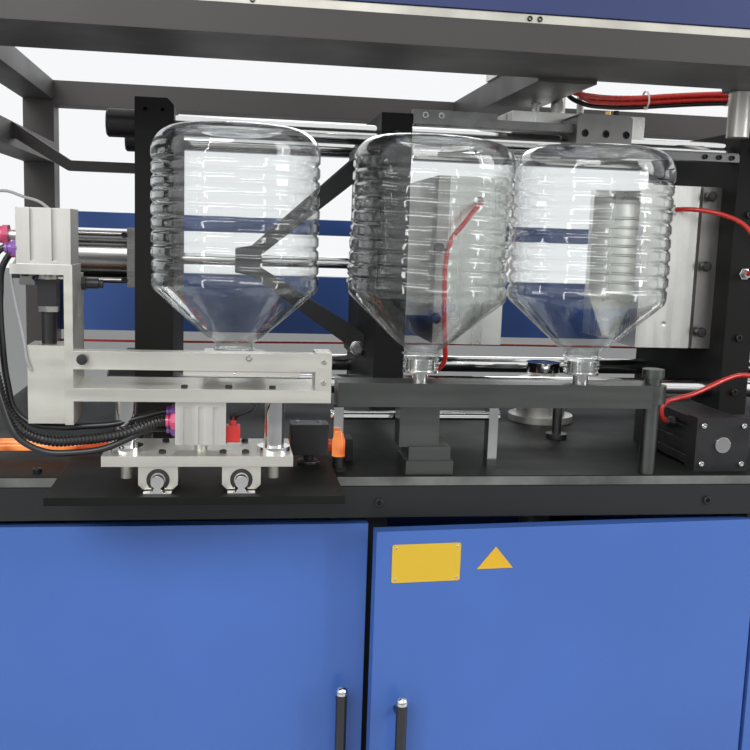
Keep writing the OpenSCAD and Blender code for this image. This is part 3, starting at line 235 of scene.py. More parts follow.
YELLOW_PLATE = painted("yellow plate", (0.80, 0.52, 0.03), rough=0.4, coat=0.2, peel=0.05, edge=0.0002)
AMBER_SIGN = painted("amber triangle", (0.85, 0.50, 0.02), rough=0.4, coat=0.2, peel=0.05, edge=0.0002)


def glowing_lamp(name):
    """Quartz tube with its hot filament: emission that wanders along the tube."""
    f = Finish(name, (0.5, 0.10, 0.02), rough=0.15)
    f.set("Emission Strength", 1.0)
    ramp = f.node("ShaderNodeValToRGB")
    ramp.color_ramp.elements[0].color = (0.22, 0.015, 0.004, 1)
    ramp.color_ramp.elements[0].position = 0.42
    ramp.color_ramp.elements[1].color = (1.0, 0.36, 0.10, 1)
    ramp.color_ramp.elements[1].position = 0.64
    f.link(f.noise(16.0, 2.0), ramp.inputs["Fac"])
    f.link(ramp.outputs["Color"], f.shader.inputs["Emission Color"])
    return f.done()


def clear_pet():
    """Thin clear polyester: see-through face on, a mirror at a grazing angle, a little wavy."""
    material = bpy.data.materials.new("clear bottle")
    material.use_nodes = True
    tree = material.node_tree
    tree.nodes.remove(tree.nodes["Principled BSDF"])
    add, link = tree.nodes.new, tree.links.new
    place = add("ShaderNodeTexCoord").outputs["Object"]
    ripple = add("ShaderNodeTexNoise")
    ripple.inputs["Scale"].default_value = 38.0
    ripple.inputs["Detail"].default_value = 2.5
    link(place, ripple.inputs["Vector"])
    bump = add("ShaderNodeBump")
    bump.inputs["Strength"].default_value = 0.55
    bump.inputs["Distance"].default_value = 0.0016
    link(ripple.outputs["Fac"], bump.inputs["Height"])
    facing = add("ShaderNodeLayerWeight")
    facing.inputs["Blend"].default_value = 0.5
    link(bump.outputs["Normal"], facing.inputs["Normal"])
    steep = add("ShaderNodeMath")
    steep.operation = "POWER"
    steep.inputs[1].default_value = 3.2
    link(facing.outputs["Facing"], steep.inputs[0])
    share = add("ShaderNodeMapRange")
    share.inputs["To Min"].default_value = 0.035
    share.inputs["To Max"].default_value = 0.85
    link(steep.outputs[0], share.inputs["Value"])
    clear = add("ShaderNodeBsdfTransparent")
    clear.inputs["Color"].default_value = (0.965, 0.972, 0.97, 1)
    gloss = add("ShaderNodeBsdfGlossy")
    gloss.inputs["Roughness"].default_value = 0.06
    gloss.inputs["Color"].default_value = (0.95, 0.96, 0.96, 1)
    link(bump.outputs["Normal"], gloss.inputs["Normal"])
    mix = add("ShaderNodeMixShader")
    link(share.outputs["Result"], mix.inputs["Fac"])
    link(clear.outputs["BSDF"], mix.inputs[1])
    link(gloss.outputs["BSDF"], mix.inputs[2])
    link(mix.outputs["Shader"], tree.nodes["Material Output"].inputs["Surface"])
    return material


RED_PLASTIC = moulded("red connector plastic", (0.60, 0.035, 0.03), rough=0.35)
LAMP_GLOW = glowing_lamp("glowing quartz lamp")
LAMP_AMBER = glowing_lamp("amber lamp sleeve")
CLEAR_PET = clear_pet()

CAD_FINISH = {
    FRAME_PAINT: ["base_frame"],
    UPPER_PAINT: ["upper_frame"],
    FOOT_STEEL: ["levelling_feet"],
    BED_PAINT: ["bed_plate", "transfer_base_plate"],
    BLUE_PAINT: ["cabinet_panels", "door_left", "door_middle"],
    # The top cover takes the blue darkened as painted shade
    SHADED_COVER_BLUE: ["top_fascia"],
    PLATEN_PAINT: ["fixed_platens", "left_moving_platen", "right_moving_platen"],
    YOKE_PAINT: ["left_thrust_yoke", "right_thrust_yoke"],
    CHROME: ["tie_bars", "left_piston_rod", "right_piston_rod", "neck_mandrels", "stretch_rod", "blow_nozzle",
             "index_rod", "guide_rod", "shaft_rails", "guide_bushes"],
    BLACK_OXIDE: ["tie_bar_nuts", "plunger", "index_cylinder"],
    CYLINDER_ALUMINIUM: ["blow_cylinder", "base_mould_cylinder", "lift_cylinder", "stroke_cylinder"],
    CLAMP_BARREL: ["clamp_cylinders"],
    HOUSING_GREY: ["rack_housing"],
    GEAR_STEEL: ["upper_rack", "lower_rack", "rack_pinion"],
    CARRIER_STEEL: ["carrier_bar", "carrier_posts"],
    MOULD_ALUMINIUM: ["left_mould_half", "right_mould_half", "base_mould"],
    HOLDER_STEEL: ["left_mould_holder", "right_mould_holder"],
    SATIN_STEEL: ["carriage_plate", "bearing_blocks", "lift_plate", "gripper_bar", "side_plate",
                  "gripper_jaw_left", "gripper_jaw_right"],
    HANDLE_BLACK: ["door_handle_left", "door_handle_middle"],
    RED_HOSE: ["top_air_hose", "left_mould_hose", "right_mould_hose"],
    BLACK_HOSE: ["hose_loom"],
    LAMP_GLOW: ["heater_lamps"],
    CLEAR_PET: ["bottle_left", "bottle_middle", "bottle_right"],
}
for finish, names in CAD_FINISH.items():
    for name in names:
        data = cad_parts[name].data
        data.materials.clear()
        data.materials.append(finish)


# Mesh tools: a shell is its points and its groups of equal-sided faces

def square_to(axis):
    """Two unit vectors square to the axis and to each other, and the axis itself."""
    w = np.asarray(axis, float) / np.linalg.norm(axis)
    u = np.cross(np.eye(3)[np.argmin(np.abs(w))], w)
    u /= np.linalg.norm(u)
    return u, np.cross(w, u), w


def angles(sides):
    """Angles of equal steps once round a circle."""
    return np.linspace(0, 2 * np.pi, sides, endpoint=False)


def distance_along(points):
    """Distance from the first point to each point of a line: the running sum of its steps' lengths."""
    return np.concatenate([[0.0], np.cumsum(np.linalg.norm(np.diff(points, axis=0), axis=1))])


def lattice(rows, columns, close_rows=False):
    """Quads of a grid of points whose columns run round: row i with row i + 1, column j with j + 1."""
    i = np.arange(rows if close_rows else rows - 1)[:, None]
    j = np.arange(columns)[None, :]
    up, on = (i + 1) % rows, (j + 1) % columns
    corners = np.broadcast_arrays(i * columns + j, i * columns + on, up * columns + on, up * columns + j)
    return np.stack(corners, -1).reshape(-1, 4)


def outward(points, groups):
    """Shell with its faces turned so that the sum of p0 · (p1 × p2) over their triangles is positive."""
    volume = sum(np.einsum("ij,ij->", points[g[:, 0]], np.cross(points[g[:, k]], points[g[:, k + 1]]))
                 for g in groups for k in range(1, g.shape[1] - 1))
    return points, [g if volume > 0 else g[:, ::-1] for g in groups]


def capped(grid, first, last):
    """Closed shell from rings of points: quads between rings, and a fan of triangles at each end."""
    rows, columns = grid.shape[:2]
    points = np.concatenate([grid.reshape(-1, 3), [first, last]])
    j = np.arange(columns)
    k = (j + 1) % columns
    top = (rows - 1) * columns
    low = np.stack([k, j, np.full(columns, rows * columns)], 1)
    high = np.stack([j + top, k + top, np.full(columns, rows * columns + 1)], 1)
    return outward(points, [lattice(rows, columns), low, high])


def turned(profile, base=(0, 0, 0), axis=(0, 0, 1), sides=32):
    """Lathe: height h and radius r become base + h·axis + r·(cos t·u + sin t·v); r may change with t."""
    u, v, w = square_to(axis)
    heights = np.array([row[0] for row in profile], float)
    radii = np.array([np.broadcast_to(row[1], sides) for row in profile], float)
    return lathe(np.repeat(heights[:, None], sides, 1), radii, angles(sides), base, u, v, w)


def lathe(heights, radii, t, base, u, v, w):
    """Points base + h·w + r·(cos t·u + sin t·v); a first or last row without radius becomes one point."""
    base = np.asarray(base, float)
    spokes = np.cos(t)[:, None] * u + np.sin(t)[:, None] * v
    grid = base + heights[..., None] * w + radii[..., None] * spokes
    first, last = base + heights[0].mean() * w, base + heights[-1].mean() * w
    keep = slice(1 if radii[0].max() == 0 else 0, len(radii) - (1 if radii[-1].max() == 0 else 0))
    return capped(grid[keep], first, last)


def ring(profile, base, axis, sides=32):
    """Lathe of a closed profile round the axis, such as a tie or a collar."""
    u, v, w = square_to(axis)
    t = angles(sides)
    p = np.asarray(profile, float)
    spokes = np.cos(t)[:, None] * u + np.sin(t)[:, None] * v
    grid = np.asarray(base, float) + p[:, 0, None, None] * w + p[:, 1, None, None] * spokes
    return outward(grid.reshape(-1, 3), [lattice(len(p), sides, True)])


def prism(outline, low, high, place=((0, 0, 0), (1, 0, 0), (0, 1, 0))):
    """Flat outline (a, b) pushed from low to high: origin + a·u + b·v + c·(u × v)."""
    origin, u, v = (np.asarray(p, float) for p in place)
    o = np.asarray(outline, float)
    flat = origin + o[:, :1] * u + o[:, 1:] * v
    w = np.cross(u, v)
    count = len(o)
    points = np.concatenate([flat + low * w, flat + high * w])
    lids = [np.arange(count)[None, ::-1], np.arange(count, 2 * count)[None, :]]
    return outward(points, [lattice(2, count)] + lids)


def slab(low, high):
    """Rectangular bar from one corner to the other; a piece given a bevel breaks its edges."""
    (x0, y0, z0), (x1, y1, z1) = low, high
    return prism([(x0, y0), (x1, y0), (x1, y1), (x0, y1)], z0, z1)


def rounded(width, height, radius, steps=5):
    """Outline of a rectangle about its middle with its corners turned to the radius."""
    turn = np.linspace(0, np.pi / 2, steps)
    corners = ((1, 1, 0), (-1, 1, 1), (-1, -1, 2), (1, -1, 3))
    return np.concatenate([np.stack([
        sx * (width / 2 - radius) + radius * np.cos(turn + q * np.pi / 2),
        sy * (height / 2 - radius) + radius * np.sin(turn + q * np.pi / 2)], 1) for sx, sy, q in corners])


def curve(points, spacing=4.0):
    """Points along a cubic in chord length whose slope at each given point is set by its two neighbours."""
    p = np.asarray(points, float)
    s = distance_along(p)
    slope = np.gradient(p, s, axis=0)
    at = np.linspace(0, s[-1], max(8, int(s[-1] / spacing)))
    i = np.clip(np.searchsorted(s, at, side="right") - 1, 0, len(s) - 2)
    h = (s[i + 1] - s[i])[:, None]
    t = (at - s[i])[:, None] / h
    return ((2 * t**3 - 3 * t**2 + 1) * p[i] + (t**3 - 2 * t**2 + t) * h * slope[i]
            + (3 * t**2 - 2 * t**3) * p[i + 1] + (t**3 - t**2) * h * slope[i + 1])


def tube(points, radius, sides=16, spacing=4.0, wave=0.0, pitch=4.0):
    """Round hose along a curve; a corrugated one has radius + wave · cos(2π · length / pitch)."""
    path = curve(points, pitch / 6 if wave else spacing)
    length = distance_along(path)
    run = np.gradient(path, axis=0)
    run /= np.linalg.norm(run, axis=1)[:, None]
    plane = np.linalg.svd(path - path.mean(0), full_matrices=False)[2][2]
    u = plane - (run @ plane)[:, None] * run
    u /= np.linalg.norm(u, axis=1)[:, None]
    v = np.cross(run, u)
    t = angles(sides)
    r = (radius + wave * np.cos(2 * np.pi * length / pitch))[:, None, None]
    grid = path[:, None] + r * (np.cos(t)[None, :, None] * u[:, None] + np.sin(t)[None, :, None] * v[:, None])
    return capped(grid, path[0], path[-1])


def hexed(apothem, sides=24):
    """Radius of a six-sided section at each of the lathe's angles: apothem / cos(angle off the flat)."""
    t = angles(sides)
    return apothem / np.cos((t + np.pi / 6) % (np.pi / 3) - np.pi / 6)


def socket_screw(base, axis, radius=5.0, height=6.0, sunk=1.0):
    """Cap screw: a round head with a broken edge and a six-sided recess, seated a little into its plate."""
    key = hexed(radius * 0.52)
    return turned([(-sunk, radius), (height - 0.6, radius), (height, radius - 0.7), (height, key),
                   (height - radius * 0.7, key * 0.98), (height - radius * 0.7, 0)], base, axis, 24)


def hex_nut(base, axis, flat=8.0, height=7.0, sunk=1.0):
    """Six-sided nut or head with a domed top."""
    return turned([(-sunk, hexed(flat)), (height - 1, hexed(flat)), (height, hexed(flat) * 0.88),
                   (height, 0)], base, axis, 24)


def push_fitting(base, axis, hose=4.0, length=18.0):
    """Push-in fitting: six-sided foot, round body, and the collar that the hose enters."""
    r = hose + 3.5
    foot = hexed(r + 1.5)
    return turned([(-1, foot), (5, foot), (5.6, r), (length - 5, r), (length - 4.4, hose + 1.2),
                   (length - 3.4, hose + 1.2), (length - 3, hose + 2.6), (length, hose + 2.2), (length, 0)],
                  base, axis, 24)


def tie(at, axis, radius):
    """Cable tie: a flat band round the hoses with its square lock."""
    u, v, w = square_to(axis)
    band = ring([(-1.6, radius - 0.3), (1.6, radius - 0.3), (1.6, radius + 1.0), (-1.6, radius + 1.0)],
                at, axis, 24)
    lock = prism([(-2.6, -2.6), (2.6, -2.6), (2.6, 2.6), (-2.6, 2.6)], radius - 0.5, radius + 4.0, (at, v, w))
    return [band, lock]


def piece(name, shells, body, material, replaces=(), bevel=0.0, angle=35.0):
    """One object from closed shells: millimetres become metres, and edges above the angle stay sharp."""
    points, faces, start = [], [], 0
    for shell_points, groups in shells:
        points.append(shell_points)
        for group in groups:
            faces.extend((group + start).tolist())
        start += len(shell_points)
    mesh = bpy.data.meshes.new(name)
    mesh.from_pydata((np.concatenate(points) * MM).tolist(), [], faces)
    mesh.update()
    mesh.shade_smooth()
    mesh.set_sharp_from_angle(angle=math.radians(angle))
    mesh.materials.append(material)
    made = bpy.data.objects.new(name, mesh)
    bpy.context.scene.collection.objects.link(made)
    if bevel:
        cut = made.modifiers.new("broken edges", "BEVEL")
        cut.width = bevel * MM
        cut.segments = 2
        cut.limit_method = "ANGLE"
        cut.angle_limit = math.radians(angle)
    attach(made, body)
    if replaces:
        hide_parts(*replaces)
    return made


# Bottles

# The bottle stands on its neck: heights count up from the neck ring, and the base is on top
BOTTLE_R, BOTTLE_H = 111.0, 292.0
NECK_R, NECK_L, RING_R, RING_H = 24.0, 20.0, 27.5, 3.2
# The cone from its foot to the wall, and the rounding there
CONE_FOOT_R, CONE_FOOT_Z, CONE_Z, CONE_ROUND = 36.0, 16.0, 82.0, 14.0
# The base: its rounding, the circle that it stands on, and its push-up's radius and depth
BASE_ROUND, FOOT_R, PUSH_R, PUSH_H = 34.0, 62.0, 41.0, 8.0
RIB_PITCH, RIB_DEEP, RIB_WIDE = 18.0, 3.0, 9.0
RIBS_FROM, RIBS_TO = CONE_Z + 20.0, BOTTLE_H - BASE_ROUND - 12.0
THREAD_PITCH, THREAD_HIGH, THREAD_HALF = 5.0, 1.5, 1.3
NECK_WALL, WALL = 2.0, 0.9
# Length of a step along the profile, and the steps in the neck
STEP, NECK_STEPS = 1.8, 46


def arc_points(middle, radius, start, end, count):
    """Points (height, radius) on an arc whose angle runs from the axis direction outward."""
    a = np.radians(np.linspace(start, end, count))
    return np.stack([middle[0] + radius * np.cos(a), middle[1] + radius * np.sin(a)], 1)


def bottle_profile():
    """Outer line (height, radius) from the neck's mouth to the middle of the base, at even steps along it."""
    slope = math.atan2(BOTTLE_R - CONE_FOOT_R, CONE_Z - CONE_FOOT_Z)
    wall_foot = CONE_Z + CONE_ROUND * math.tan(slope / 2)
    wall_top = BOTTLE_H - BASE_ROUND
    push_top = BOTTLE_H - PUSH_H
    neck = [(-NECK_L, NECK_R - 0.6), (-NECK_L + 0.8, NECK_R), (-0.2, NECK_R), (0, RING_R - 0.5),
            (0.4, RING_R), (RING_H - 0.6, RING_R), (RING_H - 0.2, RING_R - 0.5), (RING_H, NECK_R),
            (7, NECK_R)]
    cone = [(10, 27), (CONE_FOOT_Z, CONE_FOOT_R)]
    wall = np.arange(wall_foot + 3, wall_top - 1, 3.0)
    base = [(BOTTLE_H, FOOT_R), (BOTTLE_H - 2, FOOT_R - 6), (push_top + 1, PUSH_R + 5), (push_top, PUSH_R),
            (push_top, 0.01)]
    line = np.concatenate([
        neck, cone,
        arc_points((wall_foot, BOTTLE_R - CONE_ROUND), CONE_ROUND, 90 + math.degrees(slope), 90, 8),
        np.stack([wall, np.full(len(wall), BOTTLE_R)], 1),
        arc_points((wall_top, BOTTLE_R - BASE_ROUND), BASE_ROUND, 90, 0, 18),
        base])
    run = distance_along(line)
    neck_run = run[len(neck) - 1]
    at = np.concatenate([np.linspace(0, neck_run, NECK_STEPS)[:-1], np.arange(neck_run, run[-1], STEP),
                         run[-1:]])
    return np.stack([np.interp(at, run, line[:, 0]), np.interp(at, run, line[:, 1])], 1)


def bottle_shell(base, axis, twist=0.0, sides=96):
    """Thin clear wall: both skins of one lathe, with ribs, screw thread, shallow feet and slight waves.

    The ribs take cos² dips from the radius every pitch; the thread is a parabola that climbs by one pitch a
    turn; the feet lift the base by cos(5t); the waves are sines of 0.2 to 0.35 mm in height and angle. The
    inner skin lies one wall inside the outer one, square to the profile.
    """
    line = bottle_profile()
    h, r = line[:, :1], line[:, 1:]
    t = angles(sides)[None, :]
    off = (h - RIBS_FROM + RIB_PITCH / 2) % RIB_PITCH - RIB_PITCH / 2
    ribbed = (np.abs(off) < RIB_WIDE / 2) & (h > RIBS_FROM - RIB_WIDE / 2) & (h < RIBS_TO + RIB_WIDE / 2)
    ribs = np.where(ribbed, np.cos(np.pi * off / RIB_WIDE)**2, 0.0) * RIB_DEEP
    climb = (h + NECK_L) / THREAD_PITCH - (t + twist) / (2 * np.pi)
    away = (climb - np.floor(climb + 0.5)) * THREAD_PITCH
    threaded = (h > -NECK_L + 2.5) & (h < -4.0)
    thread = np.where(threaded, np.clip(1 - (away / THREAD_HALF)**2, 0, 1), 0.0) * THREAD_HIGH
    body = np.clip((h - 20.0) / 60.0, 0, 1)
    wave = body * (0.35 * np.sin(3 * t + h / 31 + twist) + 0.3 * np.sin(5 * t - h / 17 + 2 * twist)
                   + 0.2 * np.sin(9 * t + h / 11))
    wave = wave * np.clip((BOTTLE_H - 6.0 - h) / 20.0, 0, 1)
    radii = np.maximum(r - ribs + thread + wave - 0.5 * body, 0.0)
    standing = np.clip(1 - ((r - 60.0) / 16.0)**2, 0, 1) * (h > BOTTLE_H - 12.0)
    heights = h + standing * -1.2 * (1 + np.cos(5 * t + twist))
    run = np.gradient(line, axis=0)
    run /= np.linalg.norm(run, axis=1)[:, None]
    wall = np.interp(line[:, 0], [-NECK_L, 6, 30, BOTTLE_H], [NECK_WALL, NECK_WALL, WALL, WALL])[:, None]
    wall = np.where(line[:, 1:] < 0.1, WALL, wall)
    inner_h, inner_r = heights + run[:, 1:] * wall, np.maximum(radii - run[:, :1] * wall, 0.0)
    inner_h[0] = -NECK_L
    radii[-1], inner_r[-1] = 0.0, 0.0
    heights[-1], inner_h[-1] = BOTTLE_H - PUSH_H, BOTTLE_H - PUSH_H - WALL
    u, v, w = square_to(axis)
    return lathe(np.concatenate([inner_h[::-1], heights]), np.concatenate([inner_r[::-1], radii]),
                 t[0] + twist, base, u, v, w)


# The middle bottle leans on its mandrel, about its mouth
LEAN = math.radians(2.0)
BOTTLE_Y = -345
lean_axis = (math.sin(LEAN), 0.0, math.cos(LEAN))
lean_base = (-320 + NECK_L * lean_axis[0], BOTTLE_Y, 1151.84 + NECK_L * lean_axis[2])
for name, body, base, axis, twist in (
        ("bottle_left", "lift", (-577, BOTTLE_Y, 1175), UP, 0.3),
        ("bottle_middle", "machine", lean_base, lean_axis, 1.7),
        ("bottle_right", "machine", (-86, BOTTLE_Y, 1171), UP, 2.9)):
    piece("clear_" + name, [bottle_shell(base, axis, twist)], body, CLEAR_PET, [name], angle=50)


# Air hoses and cables: points listed along each route

TOP_HOSE = [(20, 40, 1623), (20, 40, 1609), (27, 42, 1595), (46, 46, 1586), (80, 48, 1584), (130, 48, 1586),
            (190, 46, 1592), (260, 40, 1598), (340, 28, 1602), (430, 4, 1604), (520, -36, 1605),
            (590, -84, 1605), (622, -124, 1604), (630, -142, 1604), (630, -155, 1604)]
SECOND_HOSE = [(-4, 40, 1623), (-4, 38, 1611), (3, 35, 1600), (20, 35, 1594), (46, 38, 1592),
               (80, 41.5, 1591.5), (130, 41, 1593.5), (190, 39, 1599.5), (260, 33, 1605.5), (340, 20, 1610),
               (430, -4, 1612), (515, -45, 1613), (580, -90, 1612), (606, -126, 1611), (612, -142, 1610),
               (612, -155, 1610)]
THIRD_HOSE = [(0, 52, 1623), (1, 54, 1606), (12, 56, 1592), (40, 55, 1580), (80, 54, 1576.5),
              (130, 54, 1578.5), (190, 52, 1584.5), (260, 46, 1590.5), (340, 34, 1594.5), (432, 11, 1596),
              (525, -30, 1597), (602, -80, 1597), (640, -122, 1596), (650, -142, 1596), (650, -155, 1596)]
LEFT_HOSE = [(-172, -44, 1395), (-172, -58, 1395), (-176, -72, 1392), (-188, -84, 1381),
             (-206, -92, 1358.5), (-226, -95, 1333), (-234, -95, 1299.5), (-234, -94, 1249),
             (-232, -92, 1201), (-228, -88, 1159), (-226, -78, 1128), (-234, -66, 1114), (-252, -58, 1114),
             (-285, -56, 1115), (-299, -56, 1115)]
RIGHT_HOSE = [(172, -44, 1395), (172, -58, 1395), (178, -72, 1396), (194, -86, 1396), (218, -98, 1393),
              (244, -110, 1386), (268, -121, 1373), (284, -129, 1352), (290, -133, 1328), (291, -131, 1308),
              (289, -124, 1296), (287, -112, 1290), (287, -100, 1290)]
LOOM = [(-846.5, -440, 1320), (-858.5, -440, 1320), (-870.5, -440, 1313), (-876.5, -441, 1296),
        (-877.5, -443, 1260), (-872.5, -446, 1200), (-862.5, -448, 1150), (-848.5, -450, 1106),
        (-826.5, -454, 1081), (-796.5, -458, 1073), (-760, -460, 1075), (-724, -461, 1080),
        (-695, -458, 1088), (-664, -446, 1096), (-649, -446, 1096)]
LOOM_BACK = [(-832, -428, 1300), (-846, -424, 1298), (-856, -424, 1284), (-860, -426, 1250),
             (-858, -430, 1190), (-852, -434, 1140), (-842, -438, 1106), (-822, -442, 1091),
             (-792, -444, 1087), (-756, -446, 1089), (-722, -446, 1092), (-690, -442, 1100),
             (-662, -436, 1106), (-648, -436, 1106)]
LOOM_LOW = [(-832, -458, 1306), (-850, -458, 1304), (-862, -458, 1288), (-868, -459, 1240),
            (-864, -461, 1180), (-853, -463, 1120), (-834, -466, 1078), (-804, -468, 1062),
            (-766, -469, 1061), (-732, -468, 1066), (-706, -462, 1076), (-684, -452, 1086),
            (-662, -434, 1084), (-648, -432, 1084)]
WHITE_CABLE = [(-801, -424, 1352), (-812, -422, 1360), (-832, -421, 1366), (-852, -422, 1372),
               (-872, -426, 1368), (-886, -434, 1345), (-888, -440, 1310), (-883, -443, 1270)]
GREY_CABLE_RUN = [(-832, -450, 1296), (-840, -452, 1282), (-838, -455, 1250), (-832, -458, 1222),
                  (-826, -462, 1196), (-822, -464, 1170), (-818, -464, 1160)]
LOWER_HOSE = [(106, -250, 1060), (96, -250, 1061), (88, -250, 1068), (86, -249, 1080), (94, -247, 1091),
              (112, -243, 1096), (140, -238, 1102), (170, -230, 1112), (200, -222, 1123), (235, -210, 1130),
              (272, -198, 1124), (302, -190, 1100), (318, -186, 1062), (322, -185, 1025), (322, -185, 1000)]
REAR_LINE = [(-944, 470, 1093), (-700, 470, 1093), (-400, 470, 1096), (0, 470, 1098), (400, 470, 1097),
             (700, 470, 1095), (944, 470, 1093)]

piece("top_hose", [tube(TOP_HOSE, 5)], "machine", RED_HOSE, ["top_air_hose"])
piece("second_top_hose", [tube(SECOND_HOSE, 4.6)], "machine", RED_HOSE)
piece("third_top_hose", [tube(THIRD_HOSE, 4.2)], "machine", BLACK_HOSE)
piece("left_mould_air", [tube(LEFT_HOSE, 4)], "left_clamp", RED_HOSE, ["left_mould_hose"])
piece("right_mould_air", [tube(RIGHT_HOSE, 4)], "right_clamp", RED_HOSE, ["right_mould_hose"])
piece("index_hose", [tube(LOWER_HOSE, 4)], "machine", RED_HOSE)
piece("rear_air_line", [tube(REAR_LINE, 2.6, 12, 40)], "machine", RED_HOSE)
piece("index_fittings", [push_fitting((106, -250, 1060), LEFT, 4, 12),
                         push_fitting((322, -185, 1000), UP, 4, 18)], "machine", BLACK_PLASTIC)
piece("loom_main", [tube(LOOM, 6.4, wave=0.6, pitch=4.5)], "lift", BLACK_HOSE, ["hose_loom"])
piece("loom_smooth", [tube(LOOM_BACK, 4), tube(LOOM_LOW, 4)], "lift", BLACK_HOSE)
piece("loom_cables", [tube(WHITE_CABLE, 1.8, 10), tube(GREY_CABLE_RUN, 1.8, 10)], "lift", GREY_CABLE)
piece("top_hose_ties", sum([tie(at, axis, r) for at, axis, r in (
    ((150, 42, 1592), (1, 0, 0.1), 14.0), ((300, 35, 1602), (1, -0.1, 0.05), 14.0),
    ((470, -14, 1605), (1, -0.4, 0), 14.0))], []), "machine", WHITE_PLASTIC)
piece("hose_end_fittings", [
    push_fitting((20, 40, 1623), DOWN, 5, 16), push_fitting((-4, 40, 1623), DOWN, 4.6, 16),
    push_fitting((630, -155, 1604), BACK, 5, 16), push_fitting((612, -155, 1610), BACK, 4.6, 16),
    push_fitting((650, -155, 1596), BACK, 4.2, 16)], "machine", BLACK_PLASTIC)
piece("left_mould_fittings", [
    push_fitting((-172, -50, 1395), FRONT, 4, 15), push_fitting((-299, -56, 1115), RIGHT, 4, 15)],
    "left_clamp", SCREW_STEEL)
piece("right_mould_fittings", [
    push_fitting((172, -50, 1395), FRONT, 4, 15), push_fitting((287, -100, 1290), FRONT, 4, 15)],
    "right_clamp", SCREW_STEEL)
piece("loom_fittings", [push_fitting((-846.5, -440, 1320), LEFT, 6.5, 14),
                        push_fitting((-832.5, -424, 1299), LEFT, 4, 14),
                        push_fitting((-649, -446, 1096), LEFT, 5.0, 12)], "lift", PINK_PLASTIC)
piece("loom_violet_fittings", [push_fitting((-832.5, -458, 1305), LEFT, 4, 14),
                               push_fitting((-649, -436, 1106), LEFT, 4, 12),
                               push_fitting((-649, -432, 1084), LEFT, 4, 12)], "lift", VIOLET_PLASTIC)


# Screws, knobs and small hardware

# Planes that the hardware sits on: tops in Z, faces in Y
BED_TOP, BLOCK_TOP, CARRIAGE_TOP, LIFT_PLATE_TOP, HOUSING_TOP = 1000, 1043, 1056, 1140, 1541
RAIL_FACE, PLATEN_FACE, RACK_FACE, HOUSING_FACE = -350, -100, -104, -105
INDEX_FACE, COVER_FACE, GRIPPER_FACE = -330, -347, -470
# Top of the doors' pull bars, and the middles of the sensor box and of the amber lamp in X and Y
HANDLE_TOP = 695
SENSOR_X, SENSOR_Y = -471, -313
AMBER_X, AMBER_Y = -428, -314


def screws(name, places, body, material=BLACK_OXIDE):
    """Cap screws of one body: each place is (x, y, z), axis, radius and height."""
    return piece(name, [socket_screw(at, axis, r, h) for at, axis, r, h in places], body, material)


screws("housing_screws", [((x, HOUSING_FACE, 1510), FRONT, 5.2, 6) for x in (-17, 18.5, 53)], "machine")
piece("rack_clamp_bar", [slab((-299, RACK_FACE, 1512), (-236, -99.8, 1535)),
                         slab((-299, -100, 1524.8), (-160, -84, 1535))],
      "left_clamp", GEAR_STEEL, bevel=0.5)
screws("rack_screws_left", [((x, RACK_FACE, 1526), FRONT, 5.2, 3) for x in (-280, -254)], "left_clamp",
       SCREW_STEEL)
piece("yoke_foot_nut", [turned([(-1, 13), (2, 13), (2.4, 12), (2.4, 9)], (-361, 22, 1137), FRONT, 32),
                        hex_nut((-361, 20, 1137), FRONT, 9, 8)], "left_clamp", SCREW_STEEL)
# Pale strip along the bed's front edge: a painted highlight of the light that this edge catches
piece("bed_edge_highlight_strip", [slab((-999, -351, 986.5), (999, -349.8, 999))], "machine", BED_EDGE_HIGHLIGHT)
screws("rack_screws_right", [((x, PLATEN_FACE, 1483), FRONT, 4.2, 4) for x in (200, 225, 248)], "right_clamp")
screws("housing_top_screws", [((24, -105, HOUSING_TOP), UP, 5.5, 7)], "machine", BRASS)
screws("housing_vent", [((38, -104, HOUSING_TOP), UP, 4.5, 8)], "machine")
screws("carriage_screws", [((x, y, CARRIAGE_TOP), UP, 4.5, 4)
                           for x in (-665, -590, -562) for y in (-450, -382)], "carriage")
screws("lift_plate_screws", [((x, -458, LIFT_PLATE_TOP), UP, 4.2, 3.5) for x in (-638, -584, -530)], "lift")
screws("gripper_bar_screw", [((-560, GRIPPER_FACE, 1180), FRONT, 4.4, 2.5)], "lift",
       SCREW_STEEL)
screws("end_bracket_screws", [((-467.5, GRIPPER_FACE, z), FRONT, 3.4, 2.5) for z in (1150, 1176)], "lift",
       SCREW_STEEL)
screws("flange_screws", [((x, y, 1275), DOWN, 4.4, 5) for x in (-834, -776) for y in (-462, -410)], "lift")
screws("block_screws", [((x, y, BLOCK_TOP), UP, 3.2, 3)
                        for x in (-684, -654, -582, -552) for y in (-462, -370)], "carriage")
screws("index_face_screws", [((x, INDEX_FACE, z), FRONT, 4.2, 4) for x in (116, 180) for z in (1012, 1070)],
       "machine", SCREW_STEEL)
screws("bed_screws", [((x, -320, BED_TOP), UP, 6, 5) for x in (-960, -840, 230, 420, 700, 940)], "machine")
screws("rail_screws", [((x, RAIL_FACE, 962), FRONT, 6, 4) for x in (-373, 120, 640)], "machine")
for name, x, body in (("platen_screws_left", -324, "left_clamp"),
                      ("platen_screws_right", 287, "right_clamp")):
    screws(name, [((x, PLATEN_FACE, z), FRONT, 6, 6) for z in (1085, 1180, 1390, 1495)], body)
screws("cap_screws", [((side * x, 30, z), FRONT, 5, 5)
                      for side in (-1, 1) for x in (760, 905) for z in (1246, 1321)], "machine")


def knob(base, axis, radius, height):
    """Turned knob: a foot, a waist and a domed head."""
    return turned([(-1, radius * 0.6), (height * 0.3, radius * 0.55), (height * 0.4, radius * 0.95),
                   (height * 0.8, radius), (height * 0.95, radius * 0.8), (height, 0)], base, axis, 24)


